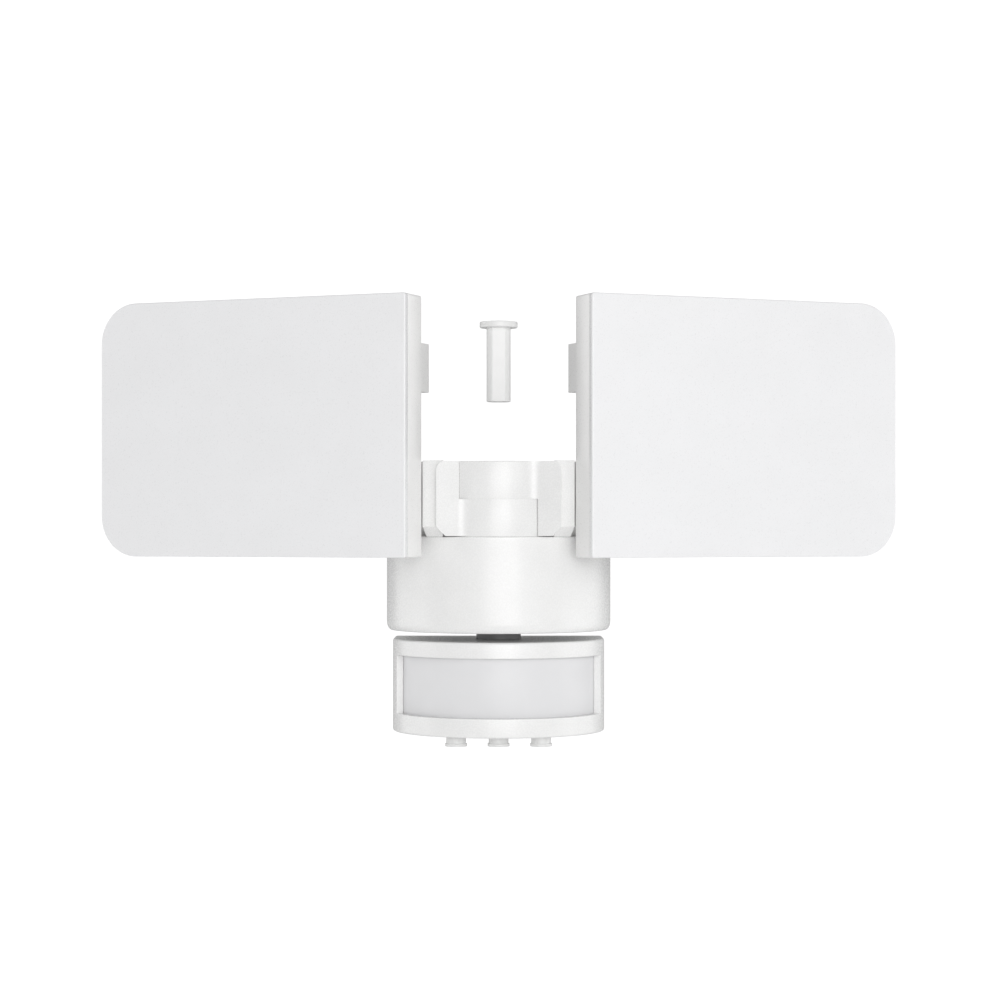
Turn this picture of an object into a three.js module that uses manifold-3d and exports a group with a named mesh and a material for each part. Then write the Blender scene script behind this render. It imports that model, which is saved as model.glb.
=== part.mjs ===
// Wall-mounted twin-head LED security floodlight with a motion sensor, millimetres, +Z up.
// The origin is the centre of the wall plate's rear face; the light faces -Y.
import * as THREE from "three";
import { mergeVertices } from "three/addons/utils/BufferGeometryUtils.js";
import Module from "manifold-3d";

// Fits
const GAP = 0.3; // clearance between touching pieces
const RUNNING_FIT = 0.4; // radial clearance of a turning fit
const OVERCUT = 1; // how far a cutting tool passes a face

// Wall plate and housing
const PLATE_WIDTH = 68;
const PLATE_HEIGHT = 48;
const PLATE_THICKNESS = 2.4;
const PLATE_CORNER = 5;
const SLOT_PITCH = 46;
const SLOT_LENGTH = 9;
const SLOT_WIDTH = 4.8;
const ENTRY_RADIUS = 8;
const ENTRY_HEIGHT = 12; // above the centre of the plate
const GROMMET_WALL = 3;
const GROMMET_LIP = 2;
const GROMMET_LIP_THICKNESS = 1.5;
const TAB_WIDTH = 10;
const TAB_LENGTH = 9;
const TAB_PITCH = 44;
const SEAL_THICKNESS = 1.4;
const BOX_WIDTH = 76;
const BOX_HEIGHT = 56;
const BOX_DEPTH = 24;
const BOX_CORNER = 6;
const BODY_RADIUS = 40.2;
const BODY_HEIGHT = 33.4;
const BODY_TOP = 3.6;
const BODY_EDGE = 3.4;
const BODY_AXIS_Y = -62;
const WALL = 2.6;
const LEDGE_WIDTH = 5;
const LEDGE_HEIGHT = 2;

// Hub: two half-height barrels on one spindle, locked by a pin from above
const HINGE_Y = BODY_AXIS_Y - 17;
const HUB_HEIGHT = 26.1;
const BARREL_RADIUS = 24;
const SPINDLE_RADIUS = 9;
const SPINDLE_FLANGE = 12;
const SPINDLE_FLANGE_THICKNESS = 2;
const NUT_WIDTH = 16;
const NUT_THICKNESS = 4;
const NUT_WALL = 2;
const THREAD_PAST_NUT = 2;
const SPINDLE_BELOW_TOP = 1;
const WASHER_RADIUS = 16;
const WASHER_THICKNESS = 1.2;
const PIN_RADIUS = 4.25;
const PIN_FLAT = 3.6;
const PIN_LENGTH = 26.1;
const PIN_HEAD_RADIUS = 6.7;
const PIN_HEAD_THICKNESS = 2.1;
const PIN_LIFT = 47.2;

// Arms
const WING_INNER_X = 13.6;
const WING_INNER_Y = -38.3;
const WING_OUTER_X = 21.4;
const WING_OUTER_Y = -41;
const WING_BLEND_X = 10.5;
const WING_CORNER = 3.1;
const LINK_FRONT = 21.5;
const LINK_DEPTH = 16;
const LINK_END = 15;
const LINK_START = -8; // ahead of the head's inner edge, inside the wing
const LINK_CHAMFER = 3.5;

// Lamp heads
const HEAD_INNER_X = 31.8;
const HEAD_INNER_Y = -50;
const HEAD_SWEEP = 22.5; // degrees swept back
const HEAD_WIDTH = 120;
const HEAD_HEIGHT = 90.1;
const HEAD_THICKNESS = 14;
const HEAD_CORNER = 14.5;
const HEAD_INNER_CORNER = 0.8;
const HEAD_BELOW_AXIS = 20.15;
const TILT_AXIS_DEPTH = 29.5;
const COVER_THICKNESS = 2.6;
const SPIGOT_WIDTH = 1.6;
const SPIGOT_HEIGHT = 2;
const HEAD_WALL = 3;
const HEAD_FLOOR = 2.4;
const GASKET_WIDTH = 1;
const GASKET_HEIGHT = 0.8;
const LED_COLUMNS = 7;
const LED_ROWS = 5;
const LED_SIZE = 3;
const LED_HEIGHT = 0.8;
const BOARD_THICKNESS = 1.6;
const LED_BOARD_DEPTH = 8;
const LED_BOARD_MARGIN = 9;
const WIRE_HOLE = 3;

// Junction box, heat sink and tilt fittings on the back of each head
const JUNCTION_INSET = 2.7;
const JUNCTION_LENGTH = 44;
const JUNCTION_HEIGHT = 17;
const JUNCTION_DEPTH = 12.7;
const JUNCTION_ABOVE_AXIS = 37.25;
const JUNCTION_WALL = 2;
const GLAND_RADIUS = 4.5;
const GLAND_LENGTH = 9;
const GLAND_BORE = 2;
const GLAND_STEP = 1.2; // from the nut's radius to its thread's
const GLAND_FROM_END = 10;
const GLAND_THREAD = 3; // past the junction box's wall
const SINK_INSET = 48;
const SINK_LENGTH = 60;
const SINK_BOTTOM = -12;
const SINK_HEIGHT = 44;
const SINK_BASE = 1.6;
const FIN_COUNT = 14;
const FIN_THICKNESS = 1.4;
const FIN_HEIGHT = 5;
const BRACKET_THICKNESS = 2.2;
const BRACKET_HEIGHT = 24;
const EAR_THICKNESS = 5;
const EAR_SPACING = 17;
const EAR_RADIUS = 9.5;
const SHAFT_RADIUS = 5;
const SHAFT_SEAT = 8;
const KNOB_RADIUS = 8;
const KNOB_LENGTH = 6;
const KNOB_END = 1; // closed end past the shaft
const KNOB_FLUTES = 8;
const KNOB_FLUTE_RADIUS = 1.2;

// Motion sensor
const SENSOR_GAP = 3.1;
const SENSOR_RADIUS = 38;
const SENSOR_HEIGHT = 33;
const SENSOR_BACK = 19;
const SENSOR_WALL = 2.4;
const SENSOR_EDGE = 1;
const WINDOW_TOP = 5.5; // below the sensor's top
const WINDOW_HEIGHT = 20.8;
const WINDOW_HALF_ANGLE = 73; // degrees
const LENS_THICKNESS = 1.4;
const LENS_LAP = 2;
const LENS_HALF_ANGLE = 78;
const NECK_RADIUS = 8;
const NECK_BORE = 5;
const NECK_FLANGE = 10.5;
const NECK_FLANGE_THICKNESS = 1.6;
const SENSOR_BOARD_WIDTH = 50;
const SENSOR_BOARD_Y = -6;
const CAN_RADIUS = 4.6;
const CAN_LENGTH = 5;
const CAN_BRIM = 0.8;
const CAN_BRIM_THICKNESS = 0.7;
const CONTROL_BOARD_WIDTH = 40;
const CONTROL_BOARD_DEPTH = 15;
const CONTROL_BOARD_FRONT = 1; // ahead of the dials' centres
const DIAL_ROW_Y = -25;
const DIAL_PITCH = 14.85;
const DIAL_RADIUS = 3.85;
const DIAL_FLANGE = 1.1;
const DIAL_STEM = 2.8;
const DIAL_DROP = 3.7;
const DIAL_SLOT_WIDTH = 0.9;
const DIAL_SLOT_DEPTH = 0.6;

// Driver parts inside the housing
const DRIVER_WIDTH = 64;
const DRIVER_LENGTH = 50;
const DRIVER_Y = -50;
const DRIVER_Z = -19;
const CORE_SIZE = 18;
const CORE_HEIGHT = 14;
const CORE_NOTCH = 3.6;
const CAPACITOR_RADIUS = 5;
const CAPACITOR_LENGTH = 15;
const TERMINAL_WIDTH = 26;
const TERMINAL_DEPTH = 9;
const TERMINAL_HEIGHT = 10;
const TERMINAL_WAYS = 3;
const TERMINAL_WALL = 2;
const WIRE_PORT = 1.8;
const SCREW_RADIUS = 2;
const SCREW_HEAD_RADIUS = 3.5;
const SCREW_HEAD_THICKNESS = 2;
const SCREW_LENGTH = 9;
const SCREW_SLOT = 1;

// Derived levels
const BODY_BOTTOM = BODY_TOP - BODY_HEIGHT;
const HUB_BOTTOM = BODY_TOP + GAP;
const HUB_TOP = BODY_TOP + HUB_HEIGHT;
const HUB_SPLIT = (BODY_TOP + HUB_TOP) / 2;
const TILT_AXIS_Z = HUB_SPLIT;
const SENSOR_TOP = BODY_BOTTOM - SENSOR_GAP;
const SENSOR_BOTTOM = SENSOR_TOP - SENSOR_HEIGHT;
const SWEEP = THREE.MathUtils.degToRad(HEAD_SWEEP);
const REAR_Y = -SEAL_THICKNESS - GAP;
const WINDOW_TOP_Z = SENSOR_TOP - WINDOW_TOP;
const WINDOW_BOTTOM_Z = WINDOW_TOP_Z - WINDOW_HEIGHT;
const LENS_RADIUS = SENSOR_RADIUS - SENSOR_WALL - GAP;

const wasm = await Module();
wasm.setup();

// Boolean helpers
function solidOf(geometry) {
  const bare = geometry.clone();
  bare.deleteAttribute("normal");
  bare.deleteAttribute("uv");
  const merged = mergeVertices(bare, 1e-4);
  return new wasm.Manifold(
    new wasm.Mesh({
      numProp: 3,
      vertProperties: new Float32Array(merged.attributes.position.array),
      triVerts: new Uint32Array(merged.index.array),
    }),
  );
}

function geometryOf(solid) {
  const mesh = solid.getMesh();
  const geometry = new THREE.BufferGeometry();
  geometry.setAttribute("position", new THREE.BufferAttribute(mesh.vertProperties, 3));
  geometry.setIndex(new THREE.BufferAttribute(mesh.triVerts, 1));
  return geometry;
}

function join(first, ...others) {
  return geometryOf(others.reduce((sum, g) => sum.add(solidOf(g)), solidOf(first)));
}

function cut(first, ...tools) {
  return geometryOf(tools.reduce((rest, g) => rest.subtract(solidOf(g)), solidOf(first)));
}

function common(first, second) {
  return geometryOf(solidOf(first).intersect(solidOf(second)));
}

// Shape helpers
function box(x0, x1, y0, y1, z0, z1) {
  const geometry = new THREE.BoxGeometry(Math.abs(x1 - x0), Math.abs(y1 - y0), Math.abs(z1 - z0));
  return geometry.translate((x0 + x1) / 2, (y0 + y1) / 2, (z0 + z1) / 2);
}

function extrude(shape, z0, z1, arcs = 12) {
  const options = { depth: z1 - z0, bevelEnabled: false, curveSegments: arcs };
  return new THREE.ExtrudeGeometry(shape, options).translate(0, 0, z0);
}

function rod(radius, z0, z1, x = 0, y = 0, segments = 32) {
  const geometry = new THREE.CylinderGeometry(radius, radius, z1 - z0, segments);
  return geometry.rotateX(Math.PI / 2).translate(x, y, (z0 + z1) / 2);
}

function rodAlongX(radius, x0, x1, y, z, segments = 32) {
  const geometry = new THREE.CylinderGeometry(radius, radius, Math.abs(x1 - x0), segments);
  return geometry.rotateZ(Math.PI / 2).translate((x0 + x1) / 2, y, z);
}

function rodAlongY(radius, y0, y1, x, z, segments = 32) {
  const geometry = new THREE.CylinderGeometry(radius, radius, Math.abs(y1 - y0), segments);
  return geometry.translate(x, (y0 + y1) / 2, z);
}

function roundedOutline(x0, x1, y0, y1, r) {
  const shape = new THREE.Shape();
  shape.moveTo(x0 + r, y0);
  shape.lineTo(x1 - r, y0);
  shape.absarc(x1 - r, y0 + r, r, -Math.PI / 2, 0, false);
  shape.lineTo(x1, y1 - r);
  shape.absarc(x1 - r, y1 - r, r, 0, Math.PI / 2, false);
  shape.lineTo(x0 + r, y1);
  shape.absarc(x0 + r, y1 - r, r, Math.PI / 2, Math.PI, false);
  shape.lineTo(x0, y0 + r);
  shape.absarc(x0 + r, y0 + r, r, Math.PI, 1.5 * Math.PI, false);
  return shape;
}

function outlineOf(points) {
  return new THREE.Shape(points.map(([x, y]) => new THREE.Vector2(x, y)));
}

// Half-round front with straight sides running back to a flat rear
function dOutline(radius, centreY, rearY) {
  const shape = new THREE.Shape();
  shape.moveTo(radius, rearY);
  shape.lineTo(-radius, rearY);
  shape.lineTo(-radius, centreY);
  shape.absarc(0, centreY, radius, Math.PI, 2 * Math.PI, false);
  return shape;
}

function bevelled(shape, z0, z1, edge, arcs) {
  const options = {
    depth: z1 - z0 - 2 * edge,
    bevelEnabled: true,
    bevelThickness: edge,
    bevelSize: edge,
    bevelOffset: -edge,
    bevelSegments: 3,
    curveSegments: arcs,
  };
  return new THREE.ExtrudeGeometry(shape, options).translate(0, 0, z0 + edge);
}

function standing(geometry) {
  return geometry.rotateX(Math.PI / 2);
}

const object = new THREE.Group();
object.name = "floodlight";

function addMesh(parent, name, geometry, colour, roughness, metalness) {
  const material = new THREE.MeshStandardMaterial({ color: colour, roughness, metalness });
  const mesh = new THREE.Mesh(geometry, material);
  mesh.name = name;
  parent.add(mesh);
}

const WHITE = 0xf2f2f0;
const OPAL = 0xf7f7f5;
const DARK = 0x2a2b2d;
const RUBBER = 0x3a3b3c;
const STEEL = 0xb9bcc0;
const ALUMINIUM = 0xc9ccd0;
const CIRCUIT = 0x1f5c3a;
const BOARD_WHITE = 0xeeeeea;
const CAN_BLACK = 0x23252b;
const TERMINAL_GREY = 0xdcdcd4;

// Wall plate: pressed steel with two fixing slots, a cable entry and two forward tabs
function slotCut(x) {
  const half = SLOT_LENGTH / 2;
  const bar = box(
    x - half, x + half, -PLATE_THICKNESS - OVERCUT, OVERCUT, -SLOT_WIDTH / 2, SLOT_WIDTH / 2,
  );
  const ends = [-half, half].map((dx) =>
    rodAlongY(SLOT_WIDTH / 2, -PLATE_THICKNESS - OVERCUT, OVERCUT, x + dx, 0, 20),
  );
  return join(bar, ...ends);
}

function plateTab(x) {
  const bottom = -PLATE_HEIGHT / 2;
  const tab = box(x - TAB_WIDTH / 2, x + TAB_WIDTH / 2, -TAB_LENGTH, 0, bottom, bottom + PLATE_THICKNESS);
  const hole = rod(
    SCREW_RADIUS + GAP, bottom - OVERCUT, bottom + PLATE_THICKNESS + OVERCUT, x, -TAB_LENGTH / 2, 20,
  );
  return cut(tab, hole);
}

function wallPlate() {
  const outline = roundedOutline(
    -PLATE_WIDTH / 2, PLATE_WIDTH / 2, -PLATE_HEIGHT / 2, PLATE_HEIGHT / 2, PLATE_CORNER,
  );
  const plate = standing(extrude(outline, 0, PLATE_THICKNESS, 8));
  const entry = rodAlongY(ENTRY_RADIUS, -PLATE_THICKNESS - OVERCUT, OVERCUT, 0, ENTRY_HEIGHT, 32);
  const slots = [-SLOT_PITCH / 2, SLOT_PITCH / 2].map(slotCut);
  const tabs = [-TAB_PITCH / 2, TAB_PITCH / 2].map(plateTab);
  return join(cut(plate, entry, ...slots), ...tabs);
}

function entryGrommet() {
  const bore = ENTRY_RADIUS - GROMMET_WALL;
  const lip = ENTRY_RADIUS + GROMMET_LIP;
  const face = PLATE_THICKNESS + GAP;
  const profile = [
    [bore, 0],
    [ENTRY_RADIUS - GAP, 0],
    [ENTRY_RADIUS - GAP, face],
    [lip, face],
    [lip, face + GROMMET_LIP_THICKNESS],
    [bore, face + GROMMET_LIP_THICKNESS],
    [bore, 0],
  ].map(([r, h]) => new THREE.Vector2(r, h));
  return new THREE.LatheGeometry(profile, 32).rotateX(Math.PI).translate(0, 0, ENTRY_HEIGHT);
}

function rearSeal() {
  const outer = roundedOutline(
    -BOX_WIDTH / 2, BOX_WIDTH / 2, -BOX_HEIGHT / 2, BOX_HEIGHT / 2, BOX_CORNER,
  );
  const inner = roundedOutline(
    -BOX_WIDTH / 2 + WALL, BOX_WIDTH / 2 - WALL, -BOX_HEIGHT / 2 + WALL, BOX_HEIGHT / 2 - WALL,
    BOX_CORNER - WALL,
  );
  outer.holes.push(inner);
  return standing(extrude(outer, 0, SEAL_THICKNESS, 8));
}

// Housing: rear box and D-plan body moulded as one shell, open at the wall
function housingOuter() {
  const rear = standing(
    extrude(
      roundedOutline(-BOX_WIDTH / 2, BOX_WIDTH / 2, -BOX_HEIGHT / 2, BOX_HEIGHT / 2, BOX_CORNER),
      -REAR_Y, BOX_DEPTH, 8,
    ),
  );
  const bodyRear = -BOX_DEPTH / 2;
  const lower = bevelled(
    dOutline(BODY_RADIUS, BODY_AXIS_Y, bodyRear), BODY_BOTTOM, BODY_TOP - BODY_EDGE, BODY_EDGE, 32,
  );
  const upper = extrude(
    dOutline(BODY_RADIUS, BODY_AXIS_Y, bodyRear - BODY_EDGE), BODY_BOTTOM + BODY_EDGE, BODY_TOP, 32,
  );
  return join(rear, lower, upper);
}

function housingHollow() {
  const rear = box(
    -BOX_WIDTH / 2 + WALL, BOX_WIDTH / 2 - WALL, -BOX_DEPTH + WALL, OVERCUT,
    -BOX_HEIGHT / 2 + WALL, BOX_HEIGHT / 2 - WALL,
  );
  const body = extrude(
    dOutline(BODY_RADIUS - WALL, BODY_AXIS_Y, -BOX_DEPTH / 2 - BODY_EDGE - WALL),
    BODY_BOTTOM + WALL, BODY_TOP - WALL, 32,
  );
  const passage = box(
    -BOX_WIDTH / 2 + WALL, BOX_WIDTH / 2 - WALL, -BOX_DEPTH - WALL, -BOX_DEPTH / 2,
    -BOX_HEIGHT / 2 + WALL, BODY_TOP - WALL,
  );
  return join(rear, body, passage);
}

function housing() {
  const spindleHole = rod(SPINDLE_RADIUS + GAP, BODY_TOP - WALL - OVERCUT, BODY_TOP + OVERCUT, 0, HINGE_Y);
  const neckHole = rod(
    NECK_RADIUS + RUNNING_FIT, BODY_BOTTOM - OVERCUT, BODY_BOTTOM + WALL + OVERCUT, 0, BODY_AXIS_Y,
  );
  const screwHoles = [-TAB_PITCH / 2, TAB_PITCH / 2].map((x) =>
    rod(
      SCREW_RADIUS + GAP, -BOX_HEIGHT / 2 - OVERCUT, -BOX_HEIGHT / 2 + WALL + OVERCUT,
      x, -TAB_LENGTH / 2, 20,
    ),
  );
  const inside = BODY_RADIUS - WALL;
  const ledges = [-1, 1].map((side) =>
    box(
      side * (inside - LEDGE_WIDTH), side * (inside + WALL / 2),
      BODY_AXIS_Y, DRIVER_Y + DRIVER_LENGTH / 2 - 2 * LEDGE_WIDTH,
      DRIVER_Z - GAP - LEDGE_HEIGHT, DRIVER_Z - GAP,
    ),
  );
  return join(cut(housingOuter(), housingHollow(), spindleHole, neckHole, ...screwHoles), ...ledges);
}

function housingScrew(x) {
  const seat = -BOX_HEIGHT / 2 - GAP;
  const head = rod(SCREW_HEAD_RADIUS, seat - SCREW_HEAD_THICKNESS, seat, x, -TAB_LENGTH / 2, 24);
  const shank = rod(SCREW_RADIUS, seat - OVERCUT, seat + SCREW_LENGTH, x, -TAB_LENGTH / 2, 20);
  const slot = box(
    x - SCREW_HEAD_RADIUS, x + SCREW_HEAD_RADIUS,
    -TAB_LENGTH / 2 - SCREW_SLOT / 2, -TAB_LENGTH / 2 + SCREW_SLOT / 2,
    seat - SCREW_HEAD_THICKNESS - OVERCUT, seat - SCREW_HEAD_THICKNESS / 2,
  );
  return cut(join(head, shank), slot);
}

// Hub spindle: hollow post through the housing's top, with its nut inside
function hubSpindle() {
  const foot = BODY_TOP - WALL - GAP;
  const tip = foot - SPINDLE_FLANGE_THICKNESS - NUT_THICKNESS - THREAD_PAST_NUT;
  const post = rod(SPINDLE_RADIUS, foot - OVERCUT, HUB_TOP - SPINDLE_BELOW_TOP, 0, HINGE_Y);
  const flange = rod(SPINDLE_FLANGE, foot - SPINDLE_FLANGE_THICKNESS, foot, 0, HINGE_Y);
  const tail = rod(NUT_WIDTH / 2 - NUT_WALL, tip, foot - OVERCUT, 0, HINGE_Y);
  const bore = rod(PIN_RADIUS + GAP, tip - OVERCUT, HUB_TOP + OVERCUT, 0, HINGE_Y);
  return cut(join(post, flange, tail), bore);
}

function spindleNut() {
  const top = BODY_TOP - WALL - 2 * GAP - SPINDLE_FLANGE_THICKNESS;
  const nut = rod(NUT_WIDTH / Math.sqrt(3), top - NUT_THICKNESS, top, 0, HINGE_Y, 6);
  const thread = NUT_WIDTH / 2 - NUT_WALL + GAP;
  const bore = rod(thread, top - NUT_THICKNESS - OVERCUT, top + OVERCUT, 0, HINGE_Y);
  return cut(nut, bore);
}

function hubWasher() {
  const top = HUB_SPLIT - GAP / 2;
  const disc = rod(WASHER_RADIUS, top - WASHER_THICKNESS, top, 0, HINGE_Y);
  const bore = rod(SPINDLE_RADIUS + GAP, top - WASHER_THICKNESS - OVERCUT, top + OVERCUT, 0, HINGE_Y);
  return cut(disc, bore);
}

// Pivot pin: flat-sided shank under a thin round head, drawn up out of the hub
function pivotPin() {
  const seated = HUB_TOP + GAP;
  const underside = seated + PIN_LIFT;
  const shank = common(
    rod(PIN_RADIUS, underside - PIN_LENGTH, underside + OVERCUT, 0, HINGE_Y, 32),
    box(
      -PIN_RADIUS, PIN_RADIUS, HINGE_Y - PIN_FLAT, HINGE_Y + PIN_FLAT,
      underside - PIN_LENGTH, underside + OVERCUT,
    ),
  );
  const head = rod(PIN_HEAD_RADIUS, underside, underside + PIN_HEAD_THICKNESS, 0, HINGE_Y, 48);
  return join(shank, head);
}

// Arms: each is half of the hub, a wing beside it and a link to the head's tilt shaft
function wingOutline(side, blended) {
  const points = [
    [WING_INNER_X, HINGE_Y - BODY_AXIS_Y],
    [WING_INNER_X, WING_INNER_Y],
    [WING_OUTER_X, WING_OUTER_Y],
    [WING_OUTER_X, HINGE_Y - BODY_AXIS_Y],
  ];
  if (blended) {
    const reach = BARREL_RADIUS ** 2 - WING_BLEND_X ** 2;
    points.splice(0, 1, [WING_BLEND_X, HINGE_Y - BODY_AXIS_Y]);
    points.splice(1, 0, [WING_BLEND_X, HINGE_Y - BODY_AXIS_Y - Math.sqrt(reach)]);
  }
  return outlineOf(points.map(([x, y]) => [side * x, BODY_AXIS_Y + y]));
}

function wingFace(side) {
  const shape = new THREE.Shape();
  const top = HUB_TOP;
  const bottom = HUB_BOTTOM;
  shape.moveTo(0, bottom);
  shape.lineTo(WING_OUTER_X - WING_CORNER, bottom);
  shape.lineTo(WING_OUTER_X, bottom + WING_CORNER);
  shape.lineTo(WING_OUTER_X, top - WING_CORNER);
  shape.absarc(WING_OUTER_X - WING_CORNER, top - WING_CORNER, WING_CORNER, 0, Math.PI / 2, false);
  shape.lineTo(0, top);
  const slab = standing(extrude(shape, 0, -2 * BODY_AXIS_Y, 8));
  return side > 0 ? slab : slab.rotateZ(Math.PI).translate(0, 2 * BODY_AXIS_Y, 0);
}

function linkBlock(side) {
  const z0 = HUB_BOTTOM;
  const z1 = HUB_TOP;
  const rear = LINK_FRONT + LINK_DEPTH;
  const section = outlineOf([
    [LINK_FRONT, z0 + LINK_CHAMFER],
    [LINK_FRONT + LINK_CHAMFER, z0],
    [rear, z0],
    [rear, z1],
    [LINK_FRONT, z1],
  ]);
  const bar = extrude(section, LINK_START, LINK_END);
  bar.rotateX(Math.PI / 2).rotateZ(Math.PI / 2);
  const turned = side > 0 ? bar : mirrored(bar);
  return placedOnHead(turned, side);
}

function mirrored(geometry) {
  const flipped = geometry.index ? geometry.toNonIndexed() : geometry;
  flipped.scale(-1, 1, 1);
  const p = flipped.attributes.position;
  for (let i = 0; i < p.count; i += 3) {
    const a = [p.getX(i), p.getY(i), p.getZ(i)];
    p.setXYZ(i, p.getX(i + 1), p.getY(i + 1), p.getZ(i + 1));
    p.setXYZ(i + 1, ...a);
  }
  return flipped;
}

// Moves a shape from a head's own frame (along, depth, up) to the object's
function placedOnHead(geometry, side) {
  return geometry.rotateZ(side * SWEEP).translate(side * HEAD_INNER_X, BODY_AXIS_Y + HEAD_INNER_Y, 0);
}

function arm(side, low) {
  const ownBottom = low ? HUB_BOTTOM : HUB_SPLIT + GAP / 2;
  const ownTop = low ? HUB_SPLIT - GAP / 2 : HUB_TOP;
  const otherBottom = low ? HUB_SPLIT - GAP / 2 : HUB_BOTTOM - OVERCUT;
  const otherTop = low ? HUB_TOP + OVERCUT : HUB_SPLIT + GAP / 2;
  const wing = join(
    extrude(wingOutline(side, false), HUB_BOTTOM, HUB_TOP),
    extrude(wingOutline(side, true), ownBottom, ownTop),
  );
  const shaped = common(wing, wingFace(side));
  const cleared = cut(
    join(shaped, linkBlock(side)),
    rod(BARREL_RADIUS + RUNNING_FIT, otherBottom, otherTop, 0, HINGE_Y, 72),
  );
  const barrel = rod(BARREL_RADIUS, ownBottom, ownTop, 0, HINGE_Y, 72);
  const bore = rod(SPINDLE_RADIUS + RUNNING_FIT, HUB_BOTTOM - OVERCUT, HUB_TOP + OVERCUT, 0, HINGE_Y);
  const seat = placedOnHead(
    rodAlongX(
      SHAFT_RADIUS + GAP, side * (LINK_END - SHAFT_SEAT), side * (LINK_END + OVERCUT),
      TILT_AXIS_DEPTH, TILT_AXIS_Z,
    ),
    side,
  );
  const tools = [bore, seat];
  if (low) {
    const pocket = WASHER_THICKNESS + GAP;
    tools.push(rod(WASHER_RADIUS + GAP, ownTop - pocket, ownTop + OVERCUT, 0, HINGE_Y));
  }
  return cut(join(cleared, barrel), ...tools);
}

// Lamp heads, each in its own frame: x along it from the inner edge, y to the back, z from the tilt axis
const HEAD_BOTTOM = -HEAD_BELOW_AXIS;
const HEAD_TOP = HEAD_BOTTOM + HEAD_HEIGHT;

function headOutline(side, inset) {
  const x0 = inset;
  const x1 = HEAD_WIDTH - inset;
  const z0 = HEAD_BOTTOM + inset;
  const z1 = HEAD_TOP - inset;
  const big = HEAD_CORNER - inset;
  const small = HEAD_INNER_CORNER;
  const shape = new THREE.Shape();
  const turn = Math.PI / 2;
  shape.moveTo(x0 + small, z0);
  shape.lineTo(x1 - big, z0);
  shape.absarc(x1 - big, z0 + big, big, -turn, 0, false);
  shape.lineTo(x1, z1 - big);
  shape.absarc(x1 - big, z1 - big, big, 0, turn, false);
  shape.lineTo(x0 + small, z1);
  shape.absarc(x0 + small, z1 - small, small, turn, 2 * turn, false);
  shape.lineTo(x0, z0 + small);
  shape.absarc(x0 + small, z0 + small, small, 2 * turn, 3 * turn, false);
  if (side > 0) {
    return shape;
  }
  return new THREE.Shape(shape.getPoints(12).map((p) => new THREE.Vector2(-p.x, p.y)));
}

function headSlab(side, inset, y0, y1) {
  return standing(extrude(headOutline(side, inset), -y1, -y0, 12));
}

function headCover(side) {
  const plate = headSlab(side, 0, 0, COVER_THICKNESS);
  const edge = HEAD_WALL + GAP;
  const spigot = cut(
    headSlab(side, edge, COVER_THICKNESS - OVERCUT, COVER_THICKNESS + SPIGOT_HEIGHT),
    headSlab(side, edge + SPIGOT_WIDTH, COVER_THICKNESS, COVER_THICKNESS + SPIGOT_HEIGHT + OVERCUT),
  );
  return join(plate, spigot);
}

function headShell(side) {
  const front = COVER_THICKNESS + GAP;
  const tray = headSlab(side, 0, front, HEAD_THICKNESS);
  const hollow = headSlab(side, HEAD_WALL, front - OVERCUT, HEAD_THICKNESS - HEAD_FLOOR);
  const mid = (HEAD_WALL - GASKET_WIDTH) / 2 - GAP;
  const groove = cut(
    headSlab(side, mid, front - OVERCUT, front + GASKET_HEIGHT + GAP),
    headSlab(side, HEAD_WALL - mid, front - 2 * OVERCUT, front + GASKET_HEIGHT + 2 * OVERCUT),
  );
  const wires = rodAlongY(
    WIRE_HOLE, HEAD_THICKNESS - HEAD_FLOOR - OVERCUT, HEAD_THICKNESS + OVERCUT,
    side * (JUNCTION_INSET + JUNCTION_LENGTH / 2), JUNCTION_ABOVE_AXIS + JUNCTION_HEIGHT / 2, 24,
  );
  return cut(tray, hollow, groove, wires);
}

function headGasket(side) {
  const front = COVER_THICKNESS + GAP;
  const inset = (HEAD_WALL - GASKET_WIDTH) / 2;
  return cut(
    headSlab(side, inset, front, front + GASKET_HEIGHT),
    headSlab(side, inset + GASKET_WIDTH, front - OVERCUT, front + GASKET_HEIGHT + OVERCUT),
  );
}

function ledBoard(side) {
  const m = LED_BOARD_MARGIN;
  const board = box(
    side * m, side * (HEAD_WIDTH - m), LED_BOARD_DEPTH, LED_BOARD_DEPTH + BOARD_THICKNESS,
    HEAD_BOTTOM + m, HEAD_TOP - m,
  );
  const stepX = (HEAD_WIDTH - 4 * m) / (LED_COLUMNS - 1);
  const stepZ = (HEAD_HEIGHT - 4 * m) / (LED_ROWS - 1);
  const root = BOARD_THICKNESS / 2;
  const front = LED_BOARD_DEPTH - LED_HEIGHT;
  const leds = [];
  for (let i = 0; i < LED_COLUMNS; i += 1) {
    for (let j = 0; j < LED_ROWS; j += 1) {
      const x = side * (2 * m + i * stepX);
      const z = HEAD_BOTTOM + 2 * m + j * stepZ;
      const half = LED_SIZE / 2;
      leds.push(box(x - half, x + half, front, LED_BOARD_DEPTH + root, z - half, z + half));
    }
  }
  return join(board, ...leds);
}

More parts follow.
